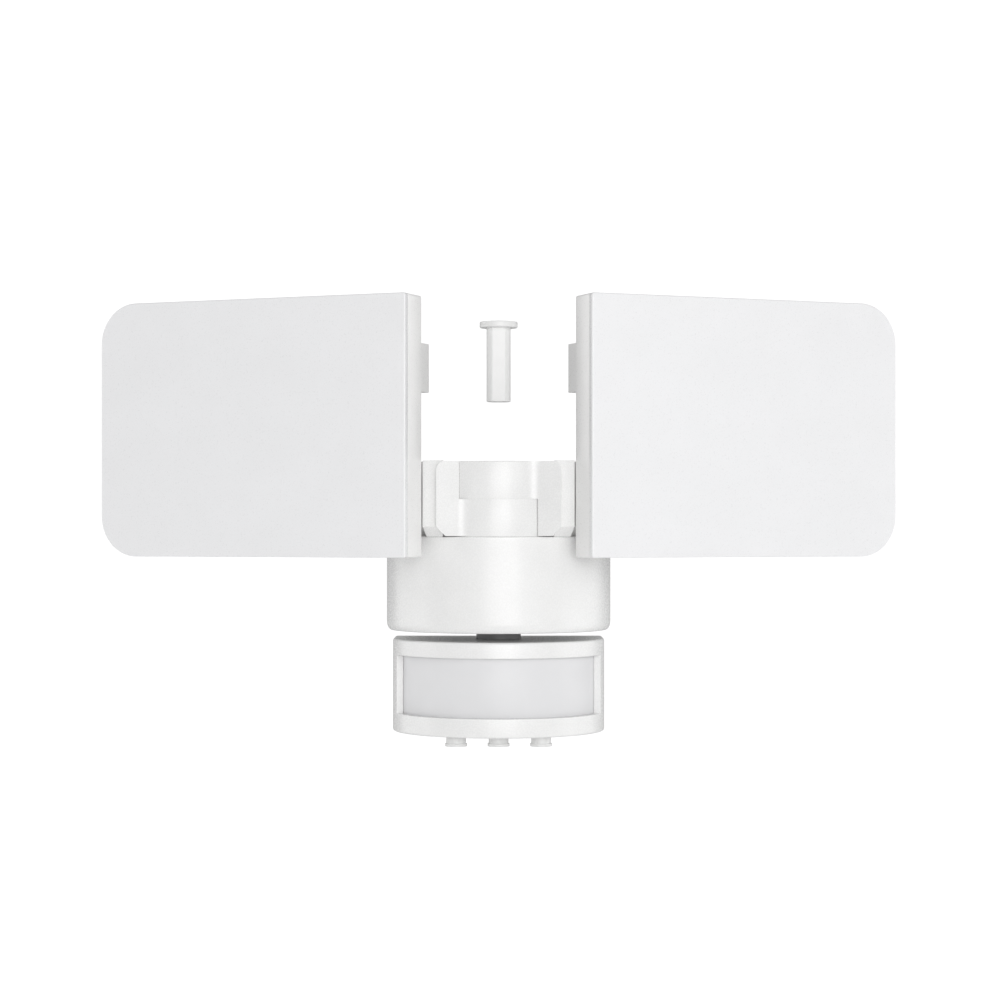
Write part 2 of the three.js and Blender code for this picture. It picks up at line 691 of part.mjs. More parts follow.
function junctionBox(side) {
  const x0 = JUNCTION_INSET;
  const x1 = x0 + JUNCTION_LENGTH;
  const y0 = HEAD_THICKNESS + GAP;
  const y1 = HEAD_THICKNESS + JUNCTION_DEPTH;
  const z0 = JUNCTION_ABOVE_AXIS;
  const z1 = z0 + JUNCTION_HEIGHT;
  const w = JUNCTION_WALL;
  const outer = box(side * x0, side * x1, y0, y1, z0, z1);
  const hollow = box(side * (x0 + w), side * (x1 - w), y0 - OVERCUT, y1 - w, z0 + w, z1 - w);
  const middle = (y0 + y1) / 2;
  const glandX = side * (x1 - GLAND_FROM_END);
  const thread = GLAND_RADIUS - GLAND_STEP + GAP;
  const glandHole = rod(thread, z0 - OVERCUT, z0 + w + OVERCUT, glandX, middle, 24);
  return cut(outer, hollow, glandHole);
}

function cableGland(side) {
  const x = side * (JUNCTION_INSET + JUNCTION_LENGTH - GLAND_FROM_END);
  const y = HEAD_THICKNESS + (GAP + JUNCTION_DEPTH) / 2;
  const top = JUNCTION_ABOVE_AXIS - GAP;
  const tip = top + JUNCTION_WALL + GLAND_THREAD;
  const body = rod(GLAND_RADIUS, top - GLAND_LENGTH, top, x, y, 6);
  const thread = rod(GLAND_RADIUS - GLAND_STEP, top - OVERCUT, tip, x, y, 24);
  const bore = rod(GLAND_BORE, top - GLAND_LENGTH - OVERCUT, tip + OVERCUT, x, y, 20);
  return cut(join(body, thread), bore);
}

function heatSink(side) {
  const y0 = HEAD_THICKNESS + GAP;
  const pitch = (SINK_LENGTH - FIN_THICKNESS) / (FIN_COUNT - 1);
  const points = [[SINK_INSET + SINK_LENGTH, y0], [SINK_INSET, y0]];
  for (let i = 0; i < FIN_COUNT; i += 1) {
    const x = SINK_INSET + i * pitch;
    const root = y0 + SINK_BASE;
    if (i > 0) {
      points.push([x, root]);
    }
    points.push([x, root + FIN_HEIGHT], [x + FIN_THICKNESS, root + FIN_HEIGHT]);
    if (i < FIN_COUNT - 1) {
      points.push([x + FIN_THICKNESS, root]);
    }
  }
  const shape = outlineOf(points.map(([x, y]) => [side * x, y]));
  return extrude(shape, SINK_BOTTOM, SINK_BOTTOM + SINK_HEIGHT);
}

function ear(side, x0) {
  const axis = TILT_AXIS_DEPTH;
  const shape = new THREE.Shape();
  const foot = HEAD_THICKNESS + GAP;
  shape.moveTo(foot, -EAR_RADIUS);
  shape.lineTo(axis, -EAR_RADIUS);
  shape.absarc(axis, 0, EAR_RADIUS, -Math.PI / 2, Math.PI / 2, false);
  shape.lineTo(foot, EAR_RADIUS);
  const slab = extrude(shape, x0, x0 + EAR_THICKNESS, 16).rotateX(Math.PI / 2).rotateZ(Math.PI / 2);
  return side > 0 ? slab : mirrored(slab);
}

function tiltBracket(side) {
  const x0 = LINK_END + GAP;
  const x1 = x0 + EAR_SPACING + EAR_THICKNESS;
  const foot = HEAD_THICKNESS + GAP;
  const half = BRACKET_HEIGHT / 2;
  const plate = box(side * x0, side * x1, foot, foot + BRACKET_THICKNESS, -half, half);
  const ears = [x0, x0 + EAR_SPACING].map((x) => ear(side, x));
  const bore = rodAlongX(
    SHAFT_RADIUS + RUNNING_FIT, side * (x0 - OVERCUT), side * (x1 + OVERCUT), TILT_AXIS_DEPTH, 0,
  );
  return cut(join(plate, ...ears), bore);
}

function shaftEnd() {
  return LINK_END + 2 * GAP + EAR_SPACING + EAR_THICKNESS;
}

function tiltShaft(side) {
  const start = LINK_END - SHAFT_SEAT + GAP;
  const end = shaftEnd() + KNOB_LENGTH;
  return rodAlongX(SHAFT_RADIUS, side * start, side * end, TILT_AXIS_DEPTH, 0, 40);
}

function tiltKnob(side) {
  const start = shaftEnd() + GAP;
  const end = start + KNOB_LENGTH + KNOB_END;
  const body = rodAlongX(KNOB_RADIUS, side * start, side * end, TILT_AXIS_DEPTH, 0, 48);
  const bore = rodAlongX(
    SHAFT_RADIUS + GAP, side * (start - OVERCUT), side * (shaftEnd() + KNOB_LENGTH + GAP),
    TILT_AXIS_DEPTH, 0,
  );
  const flutes = [];
  for (let i = 0; i < KNOB_FLUTES; i += 1) {
    const a = (2 * Math.PI * i) / KNOB_FLUTES;
    const y = TILT_AXIS_DEPTH + KNOB_RADIUS * Math.cos(a);
    const z = KNOB_RADIUS * Math.sin(a);
    flutes.push(rodAlongX(KNOB_FLUTE_RADIUS, side * (start - OVERCUT), side * (end + OVERCUT), y, z, 12));
  }
  return cut(body, bore, ...flutes);
}

function addHead(side, label) {
  const head = new THREE.Group();
  head.name = `${label}_head`;
  head.position.set(side * HEAD_INNER_X, BODY_AXIS_Y + HEAD_INNER_Y, TILT_AXIS_Z);
  head.rotation.z = side * SWEEP;
  addMesh(head, `${label}_front_cover`, headCover(side), OPAL, 0.35, 0);
  addMesh(head, `${label}_rear_shell`, headShell(side), WHITE, 0.5, 0);
  addMesh(head, `${label}_cover_gasket`, headGasket(side), RUBBER, 0.9, 0);
  addMesh(head, `${label}_led_board`, ledBoard(side), BOARD_WHITE, 0.5, 0);
  addMesh(head, `${label}_junction_box`, junctionBox(side), WHITE, 0.5, 0);
  addMesh(head, `${label}_cable_gland`, cableGland(side), DARK, 0.6, 0);
  addMesh(head, `${label}_heat_sink`, heatSink(side), ALUMINIUM, 0.45, 0.9);
  addMesh(head, `${label}_tilt_bracket`, tiltBracket(side), WHITE, 0.5, 0);
  addMesh(head, `${label}_tilt_shaft`, tiltShaft(side), STEEL, 0.35, 1);
  addMesh(head, `${label}_tilt_knob`, tiltKnob(side), WHITE, 0.55, 0);
  object.add(head);
}

// Motion sensor, built about the housing's round axis at y = 0
function sectorRing(inner, outer, halfAngle, z0, z1, arcs) {
  const shape = new THREE.Shape();
  const half = THREE.MathUtils.degToRad(halfAngle);
  const front = -Math.PI / 2;
  shape.absarc(0, 0, outer, front - half, front + half, false);
  shape.absarc(0, 0, inner, front + half, front - half, true);
  return extrude(shape, z0, z1, arcs);
}

function sensorHousing() {
  const plan = dOutline(SENSOR_RADIUS, 0, SENSOR_BACK);
  const outer = bevelled(plan, SENSOR_BOTTOM, SENSOR_TOP, SENSOR_EDGE, 32);
  const inner = extrude(
    dOutline(SENSOR_RADIUS - SENSOR_WALL, 0, SENSOR_BACK - SENSOR_WALL),
    SENSOR_BOTTOM - OVERCUT, SENSOR_TOP - SENSOR_WALL, 40,
  );
  const window = sectorRing(
    SENSOR_RADIUS / 2, SENSOR_RADIUS + OVERCUT, WINDOW_HALF_ANGLE, WINDOW_BOTTOM_Z, WINDOW_TOP_Z, 40,
  );
  const neckHole = rod(NECK_RADIUS + GAP, SENSOR_TOP - SENSOR_WALL - OVERCUT, SENSOR_TOP + OVERCUT);
  return cut(outer, inner, window, neckHole);
}

function sensorLens() {
  return sectorRing(
    LENS_RADIUS - LENS_THICKNESS, LENS_RADIUS, LENS_HALF_ANGLE,
    WINDOW_BOTTOM_Z - LENS_LAP, WINDOW_TOP_Z + LENS_LAP, 40,
  );
}

function sensorNeck() {
  const upper = BODY_BOTTOM + WALL + GAP;
  const lower = SENSOR_TOP - SENSOR_WALL - GAP;
  const post = rod(NECK_RADIUS, lower - OVERCUT, upper + OVERCUT);
  const flanges = [
    rod(NECK_FLANGE, upper, upper + NECK_FLANGE_THICKNESS),
    rod(NECK_FLANGE, lower - NECK_FLANGE_THICKNESS, lower),
  ];
  const bore = rod(
    NECK_BORE, lower - NECK_FLANGE_THICKNESS - OVERCUT, upper + NECK_FLANGE_THICKNESS + OVERCUT, 0, 0, 32,
  );
  return cut(join(post, ...flanges), bore);
}

function dialX(index) {
  return (index - 1) * DIAL_PITCH;
}

function sensorCover() {
  const inset = SENSOR_WALL + GAP;
  const plate = extrude(
    dOutline(SENSOR_RADIUS - inset, 0, SENSOR_BACK - inset),
    SENSOR_BOTTOM + GAP, SENSOR_BOTTOM + GAP + SENSOR_WALL, 40,
  );
  const holes = [0, 1, 2].map((i) =>
    rod(
      DIAL_STEM + RUNNING_FIT, SENSOR_BOTTOM - OVERCUT, SENSOR_BOTTOM + 2 * SENSOR_WALL,
      dialX(i), DIAL_ROW_Y, 24,
    ),
  );
  return cut(plate, ...holes);
}

function sensorBoard() {
  return box(
    -SENSOR_BOARD_WIDTH / 2, SENSOR_BOARD_WIDTH / 2, SENSOR_BOARD_Y, SENSOR_BOARD_Y + BOARD_THICKNESS,
    SENSOR_BOTTOM + SENSOR_WALL + 3 * GAP, SENSOR_TOP - SENSOR_WALL - NECK_FLANGE_THICKNESS - 3 * GAP,
  );
}

function detectorCan() {
  const z = (WINDOW_TOP_Z + WINDOW_BOTTOM_Z) / 2;
  const front = SENSOR_BOARD_Y - GAP;
  const can = rodAlongY(CAN_RADIUS, front - CAN_LENGTH, front, 0, z);
  const brim = rodAlongY(CAN_RADIUS + CAN_BRIM, front - CAN_BRIM_THICKNESS, front, 0, z);
  return join(can, brim);
}

function controlBoard() {
  const z0 = SENSOR_BOTTOM + 2 * SENSOR_WALL + GAP;
  return box(
    -CONTROL_BOARD_WIDTH / 2, CONTROL_BOARD_WIDTH / 2,
    DIAL_ROW_Y - CONTROL_BOARD_FRONT, DIAL_ROW_Y - CONTROL_BOARD_FRONT + CONTROL_BOARD_DEPTH,
    z0, z0 + BOARD_THICKNESS,
  );
}

function dial(index) {
  const x = dialX(index);
  const face = SENSOR_BOTTOM - DIAL_DROP;
  const flange = rod(DIAL_RADIUS, face, face + DIAL_FLANGE, x, DIAL_ROW_Y, 32);
  const top = SENSOR_BOTTOM + 2 * SENSOR_WALL;
  const stem = rod(DIAL_STEM, face + DIAL_FLANGE / 2, top, x, DIAL_ROW_Y, 24);
  const slot = box(
    x - DIAL_SLOT_WIDTH / 2, x + DIAL_SLOT_WIDTH / 2, DIAL_ROW_Y - DIAL_STEM, DIAL_ROW_Y + DIAL_STEM,
    face - OVERCUT, face + DIAL_SLOT_DEPTH,
  );
  return cut(join(flange, stem), slot);
}

function addSensor() {
  const sensor = new THREE.Group();
  sensor.name = "sensor_assembly";
  sensor.position.set(0, BODY_AXIS_Y, 0);
  addMesh(sensor, "sensor_housing", sensorHousing(), WHITE, 0.45, 0);
  addMesh(sensor, "sensor_lens", sensorLens(), OPAL, 0.5, 0);
  addMesh(sensor, "sensor_neck", sensorNeck(), DARK, 0.5, 0);
  addMesh(sensor, "sensor_cover", sensorCover(), WHITE, 0.5, 0);
  addMesh(sensor, "sensor_board", sensorBoard(), CIRCUIT, 0.5, 0);
  addMesh(sensor, "detector_can", detectorCan(), STEEL, 0.3, 1);
  addMesh(sensor, "control_board", controlBoard(), CIRCUIT, 0.5, 0);
  ["time_dial", "light_dial", "range_dial"].forEach((name, index) => {
    addMesh(sensor, name, dial(index), WHITE, 0.5, 0);
  });
  object.add(sensor);
}

// Driver parts on their board
const DRIVER_TOP = DRIVER_Z + BOARD_THICKNESS + GAP;

function driverBoard() {
  return box(
    -DRIVER_WIDTH / 2, DRIVER_WIDTH / 2, DRIVER_Y - DRIVER_LENGTH / 2, DRIVER_Y + DRIVER_LENGTH / 2,
    DRIVER_Z, DRIVER_Z + BOARD_THICKNESS,
  );
}

function transformerCore() {
  const x = -DRIVER_WIDTH / 4;
  const half = CORE_SIZE / 2;
  const top = DRIVER_TOP + CORE_HEIGHT;
  const core = box(x - half, x + half, DRIVER_Y - half, DRIVER_Y + half, DRIVER_TOP, top);
  const grooves = [-1, 1].map((s) =>
    box(
      x - CORE_NOTCH, x + CORE_NOTCH,
      DRIVER_Y + s * (half + OVERCUT), DRIVER_Y + s * (half - CORE_NOTCH / 2),
      DRIVER_TOP - OVERCUT, top + OVERCUT,
    ),
  );
  return cut(core, ...grooves);
}

function capacitor() {
  return rod(CAPACITOR_RADIUS, DRIVER_TOP, DRIVER_TOP + CAPACITOR_LENGTH, DRIVER_WIDTH / 4, DRIVER_Y, 32);
}

function terminalBlock() {
  const rear = DRIVER_Y + DRIVER_LENGTH / 2;
  const y0 = rear - TERMINAL_DEPTH;
  const block = box(
    -TERMINAL_WIDTH / 2, TERMINAL_WIDTH / 2, y0, rear, DRIVER_TOP, DRIVER_TOP + TERMINAL_HEIGHT,
  );
  const pitch = TERMINAL_WIDTH / TERMINAL_WAYS;
  const port = DRIVER_TOP + TERMINAL_HEIGHT / 3;
  const tools = [];
  for (let i = 0; i < TERMINAL_WAYS; i += 1) {
    const x = (i - (TERMINAL_WAYS - 1) / 2) * pitch;
    tools.push(rodAlongY(WIRE_PORT, y0 + TERMINAL_WALL, rear + OVERCUT, x, port, 16));
  }
  return cut(block, ...tools);
}

addMesh(object, "wall_plate", wallPlate(), STEEL, 0.45, 1);
addMesh(object, "entry_grommet", entryGrommet(), RUBBER, 0.9, 0);
addMesh(object, "rear_seal", rearSeal(), RUBBER, 0.9, 0);
addMesh(object, "housing", housing(), WHITE, 0.45, 0);
addMesh(object, "left_housing_screw", housingScrew(-TAB_PITCH / 2), STEEL, 0.35, 1);
addMesh(object, "right_housing_screw", housingScrew(TAB_PITCH / 2), STEEL, 0.35, 1);
addMesh(object, "driver_board", driverBoard(), CIRCUIT, 0.5, 0);
addMesh(object, "transformer_core", transformerCore(), DARK, 0.6, 0);
addMesh(object, "capacitor", capacitor(), CAN_BLACK, 0.4, 0);
addMesh(object, "terminal_block", terminalBlock(), TERMINAL_GREY, 0.5, 0);
addMesh(object, "hub_spindle", hubSpindle(), STEEL, 0.35, 1);
addMesh(object, "spindle_nut", spindleNut(), STEEL, 0.35, 1);
addMesh(object, "hub_washer", hubWasher(), DARK, 0.6, 0);
addMesh(object, "left_arm", arm(-1, true), WHITE, 0.45, 0);
addMesh(object, "right_arm", arm(1, false), WHITE, 0.45, 0);
addMesh(object, "pivot_pin", pivotPin(), WHITE, 0.5, 0);
addHead(-1, "left");
addHead(1, "right");
addSensor();

export default object;
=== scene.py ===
import bmesh
import bpy
import numpy as np
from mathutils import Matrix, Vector


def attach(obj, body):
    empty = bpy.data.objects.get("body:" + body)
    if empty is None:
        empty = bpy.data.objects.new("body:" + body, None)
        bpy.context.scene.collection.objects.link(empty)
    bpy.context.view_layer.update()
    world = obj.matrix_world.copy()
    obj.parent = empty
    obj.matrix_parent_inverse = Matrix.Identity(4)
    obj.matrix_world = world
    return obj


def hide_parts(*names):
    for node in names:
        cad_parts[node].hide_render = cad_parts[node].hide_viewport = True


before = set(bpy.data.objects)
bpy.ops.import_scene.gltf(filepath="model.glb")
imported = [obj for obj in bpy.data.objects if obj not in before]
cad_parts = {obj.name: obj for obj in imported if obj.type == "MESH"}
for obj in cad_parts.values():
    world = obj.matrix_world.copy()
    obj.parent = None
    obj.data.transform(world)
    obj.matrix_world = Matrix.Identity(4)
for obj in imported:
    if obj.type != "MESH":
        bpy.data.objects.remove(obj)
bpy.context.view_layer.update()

# WALL PLATE
# A zinc-plated pressing screwed flat to the wall, with two tabs that the housing's screws go
# into. A black rubber grommet lines its cable entry and a rubber ring seals the housing to the wall.
MM = 0.001


def grain_group():
    """Grain of a surface: patches of tone, a pebble and a finer speckle, from three noises.

    Tone mixes Deep and Pale by a slow noise. Height is the pebble plus a third of the speckle.
    Roughness runs from Smooth to Rough with the pebble.
    """
    group = bpy.data.node_groups.new("surface_grain", "ShaderNodeTree")
    for label, kind in (
        ("Vector", "NodeSocketVector"),
        ("Pale", "NodeSocketColor"),
        ("Deep", "NodeSocketColor"),
        ("Patch", "NodeSocketFloat"),
        ("Pebble", "NodeSocketFloat"),
        ("Smooth", "NodeSocketFloat"),
        ("Rough", "NodeSocketFloat"),
    ):
        group.interface.new_socket(name=label, in_out="INPUT", socket_type=kind)
    for label, kind in (
        ("Tone", "NodeSocketColor"),
        ("Roughness", "NodeSocketFloat"),
        ("Height", "NodeSocketFloat"),
    ):
        group.interface.new_socket(name=label, in_out="OUTPUT", socket_type=kind)
    add, link = group.nodes.new, group.links.new
    source, sink = add("NodeGroupInput"), add("NodeGroupOutput")
    patch, pebble, speckle = (add("ShaderNodeTexNoise") for _ in range(3))
    for noise, detail in ((patch, 3), (pebble, 2), (speckle, 1)):
        noise.inputs["Detail"].default_value = detail
        link(source.outputs["Vector"], noise.inputs["Vector"])
    link(source.outputs["Patch"], patch.inputs["Scale"])
    link(source.outputs["Pebble"], pebble.inputs["Scale"])
    finer = add("ShaderNodeMath")
    finer.operation = "MULTIPLY"
    finer.inputs[1].default_value = 2.7
    link(source.outputs["Pebble"], finer.inputs[0])
    link(finer.outputs[0], speckle.inputs["Scale"])
    height = add("ShaderNodeMath")
    height.operation = "MULTIPLY_ADD"
    height.inputs[1].default_value = 0.35
    link(speckle.outputs["Fac"], height.inputs[0])
    link(pebble.outputs["Fac"], height.inputs[2])
    spread = add("ShaderNodeMapRange")
    spread.inputs["From Min"].default_value = 0.35
    spread.inputs["From Max"].default_value = 0.65
    link(patch.outputs["Fac"], spread.inputs["Value"])
    tone = add("ShaderNodeMix")
    tone.data_type = "RGBA"
    link(spread.outputs["Result"], tone.inputs["Factor"])
    link(source.outputs["Deep"], tone.inputs["A"])
    link(source.outputs["Pale"], tone.inputs["B"])
    rough = add("ShaderNodeMapRange")
    rough.inputs["From Min"].default_value = 0.3
    rough.inputs["From Max"].default_value = 0.7
    link(pebble.outputs["Fac"], rough.inputs["Value"])
    link(source.outputs["Smooth"], rough.inputs["To Min"])
    link(source.outputs["Rough"], rough.inputs["To Max"])
    link(tone.outputs["Result"], sink.inputs["Tone"])
    link(rough.outputs["Result"], sink.inputs["Roughness"])
    link(height.outputs[0], sink.inputs["Height"])
    return group


GRAIN = grain_group()


def grained(name, pale, deep, smooth, rough, pebble, patch, bump, metal=0.0, shine=0.5):
    """A material with grain: pale and deep tones, roughness limits, noise sizes per metre."""
    finish = bpy.data.materials.new(name)
    finish.use_nodes = True
    tree = finish.node_tree
    shader = tree.nodes["Principled BSDF"]
    shader.inputs["Metallic"].default_value = metal
    shader.inputs["Specular IOR Level"].default_value = shine
    where = tree.nodes.new("ShaderNodeTexCoord")
    grain = tree.nodes.new("ShaderNodeGroup")
    grain.node_tree = GRAIN
    grain.inputs["Pale"].default_value = (*pale, 1)
    grain.inputs["Deep"].default_value = (*deep, 1)
    grain.inputs["Patch"].default_value = patch
    grain.inputs["Pebble"].default_value = pebble
    grain.inputs["Smooth"].default_value = smooth
    grain.inputs["Rough"].default_value = rough
    relief = tree.nodes.new("ShaderNodeBump")
    relief.inputs["Strength"].default_value = bump
    relief.inputs["Distance"].default_value = 0.05 * MM
    link = tree.links.new
    link(where.outputs["Object"], grain.inputs["Vector"])
    link(grain.outputs["Tone"], shader.inputs["Base Color"])
    link(grain.outputs["Roughness"], shader.inputs["Roughness"])
    link(grain.outputs["Height"], relief.inputs["Height"])
    link(relief.outputs["Normal"], shader.inputs["Normal"])
    return finish


def dress(finish, *names):
    """Puts one material on pieces that keep the frame's own shape."""
    for name in names:
        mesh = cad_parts[name].data
        mesh.materials.clear()
        mesh.materials.append(finish)


zinc = grained("zinc_plated_steel", (0.70, 0.71, 0.73), (0.56, 0.58, 0.60), 0.22, 0.42, 1800, 220, 0.1, 1.0)
rubber = grained("black_rubber", (0.045, 0.045, 0.045), (0.03, 0.03, 0.03), 0.7, 0.85, 1500, 100, 0.25)
dress(zinc, "wall_plate")
dress(rubber, "entry_grommet", "rear_seal")

# HOUSING
# One white injection moulding with a fine grain: a shallow drum with a half-round front and
# straight sides, open to a flat box behind it. Two screws under the box hold it on the wall plate.
DRUM_AXIS_Y = -62.0
DRUM_RADIUS, DRUM_REAR, DRUM_CORNER = 40.2, 39.6, 3.0
DRUM_BOTTOM, DRUM_TOP = -29.8, 3.6
BOX_WIDTH, BOX_HEIGHT, BOX_DEPTH, BOX_CORNER = 76.0, 56.0, 24.0, 6.0
SEAL_DEPTH = 1.7
WALL = 2.6
HINGE_Y = -79.0


def skin_of(rings, ends="capped"):
    """Skin over a stack of closed loops with equally many points, (loops, points, 3) in mm.

    Quad (i, j) joins points j and j + 1 of loop i to those of loop i + 1. With ends "capped" one
    flat face closes each end loop; with "joined" the last loop goes on into the first.
    """
    count, size = rings.shape[:2]
    last = count if ends == "joined" else count - 1
    i, j = np.meshgrid(np.arange(last), np.arange(size), indexing="ij")
    k, n = (j + 1) % size, (i + 1) % count
    faces = np.stack([i * size + j, i * size + k, n * size + k, n * size + j], -1).reshape(-1, 4).tolist()
    if ends == "capped":
        faces.append(np.arange(size)[::-1].tolist())
        faces.append((np.arange(size) + (count - 1) * size).tolist())
    return rings.reshape(-1, 3), faces


def make_piece(name, skins, finish, body, nodes, edge=0.0):
    """One finished object from closed skins in mm, its faces turned outwards.

    Corners sharper than 35 degrees stay crisp, or are rounded with radius edge in mm.
    """
    counts = np.cumsum([0] + [len(points) for points, _ in skins])
    points = np.concatenate([np.asarray(p, float) for p, _ in skins]) * MM
    faces = [[p + start for p in face] for (_, skin), start in zip(skins, counts) for face in skin]
    mesh = bpy.data.meshes.new(name)
    mesh.from_pydata(points.tolist(), [], faces)
    work = bmesh.new()
    work.from_mesh(mesh)
    bmesh.ops.recalc_face_normals(work, faces=work.faces)
    work.to_mesh(mesh)
    work.free()
    mesh.shade_smooth()
    mesh.set_sharp_from_angle(angle=np.radians(35))
    thing = bpy.data.objects.new(name, mesh)
    bpy.context.scene.collection.objects.link(thing)
    mesh.materials.append(finish)
    if edge:
        rounding = thing.modifiers.new("edges", "BEVEL")
        rounding.width = edge * MM
        rounding.segments = 3
        rounding.limit_method = "ANGLE"
        rounding.angle_limit = np.radians(35)
        rounding.harden_normals = True
    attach(thing, body)
    if nodes:
        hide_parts(*nodes)
    return thing


def d_plan(inset, radius=DRUM_RADIUS, rear=DRUM_REAR, corner=DRUM_CORNER):
    """Plan of a half-round front with straight sides and a flat rear, drawn in by inset.

    The front half circle lies about the origin on the -Y side; the sides run straight back to
    Y = rear, where the corners are quarter circles.
    """
    r, back, c = radius - inset, rear - inset, max(corner - inset, 0.05)
    front = np.linspace(np.pi, 2 * np.pi, 121)
    quarter = np.linspace(0, np.pi / 2, 9)
    side = np.linspace(0, back - c, 8)[1:-1]
    across = np.linspace(r - c, c - r, 30)[1:-1]
    x = [r * np.cos(front), np.full(6, r), r - c + c * np.cos(quarter), across]
    y = [r * np.sin(front), side, back - c + c * np.sin(quarter), np.full(28, back)]
    x += [c - r - c * np.sin(quarter), np.full(6, -r)]
    y += [back - c + c * np.cos(quarter), side[::-1]]
    return np.stack([np.concatenate(x), np.concatenate(y)], -1)


def box_plan(inset, width, height, corners, points=12):
    """Plan of a rectangle about the origin, drawn in by inset.

    corners gives the radius at (+x, +y), (-x, +y), (-x, -y) and (+x, -y), each a quarter circle.
    """
    half = np.array([width, height]) / 2 - inset
    turn = np.linspace(0, np.pi / 2, points)
    loops = []
    for n, radius in enumerate(corners):
        r = max(radius - inset, 0.05)
        way = np.array([(1, 1), (-1, 1), (-1, -1), (1, -1)][n])
        a = turn + n * np.pi / 2
        loops.append(way * (half - r) + r * np.stack([np.cos(a), np.sin(a)], -1))
    return np.concatenate(loops)


def raise_plan(plan, profile):
    """Loops (x, y, height) of a plan drawn in by each (inset, height) of a profile."""
    return np.array([np.column_stack([plan(i), np.full(len(plan(i)), h)]) for i, h in profile])


def soft_corner(inset, rise, start, way=1, steps=8):
    """Quarter ellipse of (inset, height): from (inset, start) out to (0, start + way * rise)."""
    turn = np.linspace(0, np.pi / 2, steps)
    return [(inset * (1 - np.sin(t)), start + way * rise * (1 - np.cos(t))) for t in turn]


def hole_in(loop, centre, radius, height):
    """Circle whose points lie in the directions of a loop's points as seen from its centre."""
    away = loop[:, :2] - centre
    away /= np.linalg.norm(away, axis=1, keepdims=True)
    return np.column_stack([centre + radius * away, np.full(len(loop), height)])


def drum_skin():
    """The drum's wall all round: outside from the top hole down, then up the inside."""
    upper, lower = (0.15, 0.15), (1.8, 3.2)
    outside = [(3.0, DRUM_TOP), (0.4, DRUM_TOP)] + soft_corner(*upper, DRUM_TOP, -1)
    outside += [(0, DRUM_TOP - 1.0), (0, DRUM_BOTTOM + 6.0)]
    outside += soft_corner(*lower, DRUM_BOTTOM)[::-1] + [(4.0, DRUM_BOTTOM), (8.0, DRUM_BOTTOM)]
    inside = [(WALL + 3, DRUM_BOTTOM + WALL), (WALL, DRUM_BOTTOM + WALL + 2)]
    inside += [(WALL, DRUM_TOP - WALL - 0.2), (WALL + 0.2, DRUM_TOP - WALL)]
    outer, inner = raise_plan(d_plan, outside), raise_plan(d_plan, inside)
    hub, neck = np.array([0, HINGE_Y - DRUM_AXIS_Y]), np.zeros(2)
    rings = np.concatenate([
        [hole_in(outer[0], hub, 9.3, DRUM_TOP)], outer, [hole_in(outer[-1], neck, 8.4, DRUM_BOTTOM)],
        [hole_in(inner[0], neck, 8.4, DRUM_BOTTOM + WALL)], inner,
        [hole_in(inner[-1], hub, 9.3, DRUM_TOP - WALL)],
    ])
    return skin_of(rings + [0, DRUM_AXIS_Y, 0], "joined")


def rear_box_skin():
    """A tray open to the wall: its front, outer wall, rim, inner wall and floor."""
    front = [(14.0, BOX_DEPTH), (2.2, BOX_DEPTH)] + soft_corner(1.6, 1.6, BOX_DEPTH, -1)
    rim = [(0, SEAL_DEPTH + 0.4), (0.1, SEAL_DEPTH), (WALL - 0.1, SEAL_DEPTH), (WALL, SEAL_DEPTH + 0.3)]
    floor = [(WALL, BOX_DEPTH - WALL - 0.2), (WALL + 0.3, BOX_DEPTH - WALL), (14.0, BOX_DEPTH - WALL)]
    loops = raise_plan(lambda i: box_plan(i, BOX_WIDTH, BOX_HEIGHT, (BOX_CORNER,) * 4), front + rim + floor)
    return skin_of(np.stack([loops[..., 0], -loops[..., 2], loops[..., 1]], -1))


WHITE_PALE, WHITE_DEEP = (0.875, 0.875, 0.87), (0.85, 0.85, 0.845)
body_white = grained("white_body_plastic", WHITE_PALE, WHITE_DEEP, 0.22, 0.32, 2600, 70, 0.16, shine=0.5)
make_piece(
    "housing_moulding", [drum_skin(), rear_box_skin()], body_white, "base", ["housing"],
)
dress(zinc, "left_housing_screw", "right_housing_screw")

# DRIVER
# The lamp driver inside the drum: a green circuit board on two ledges with a taped transformer, a
# black smoothing capacitor and a three-way screw terminal for the supply.
board_green = grained(
    "green_circuit_board", (0.03, 0.20, 0.10), (0.02, 0.14, 0.07), 0.3, 0.45, 900, 300, 0.15
)
black_moulded = grained(
    "black_moulded_plastic", (0.035, 0.035, 0.037), (0.022, 0.022, 0.024), 0.38, 0.55, 1700, 90,
    0.2,
)
terminal_grey = grained(
    "grey_terminal_plastic", (0.70, 0.70, 0.67), (0.64, 0.64, 0.61), 0.4, 0.55, 1500, 120, 0.15
)
dress(board_green, "driver_board")
dress(black_moulded, "transformer_core", "capacitor")
dress(terminal_grey, "terminal_block")

# HUB SPINDLE
# A turned, zinc-plated hollow post stands through the drum's top with a nut inside; a black nylon
# washer sits between the two arms' barrels.
dress(zinc, "hub_spindle", "spindle_nut")
dress(black_moulded, "hub_washer")

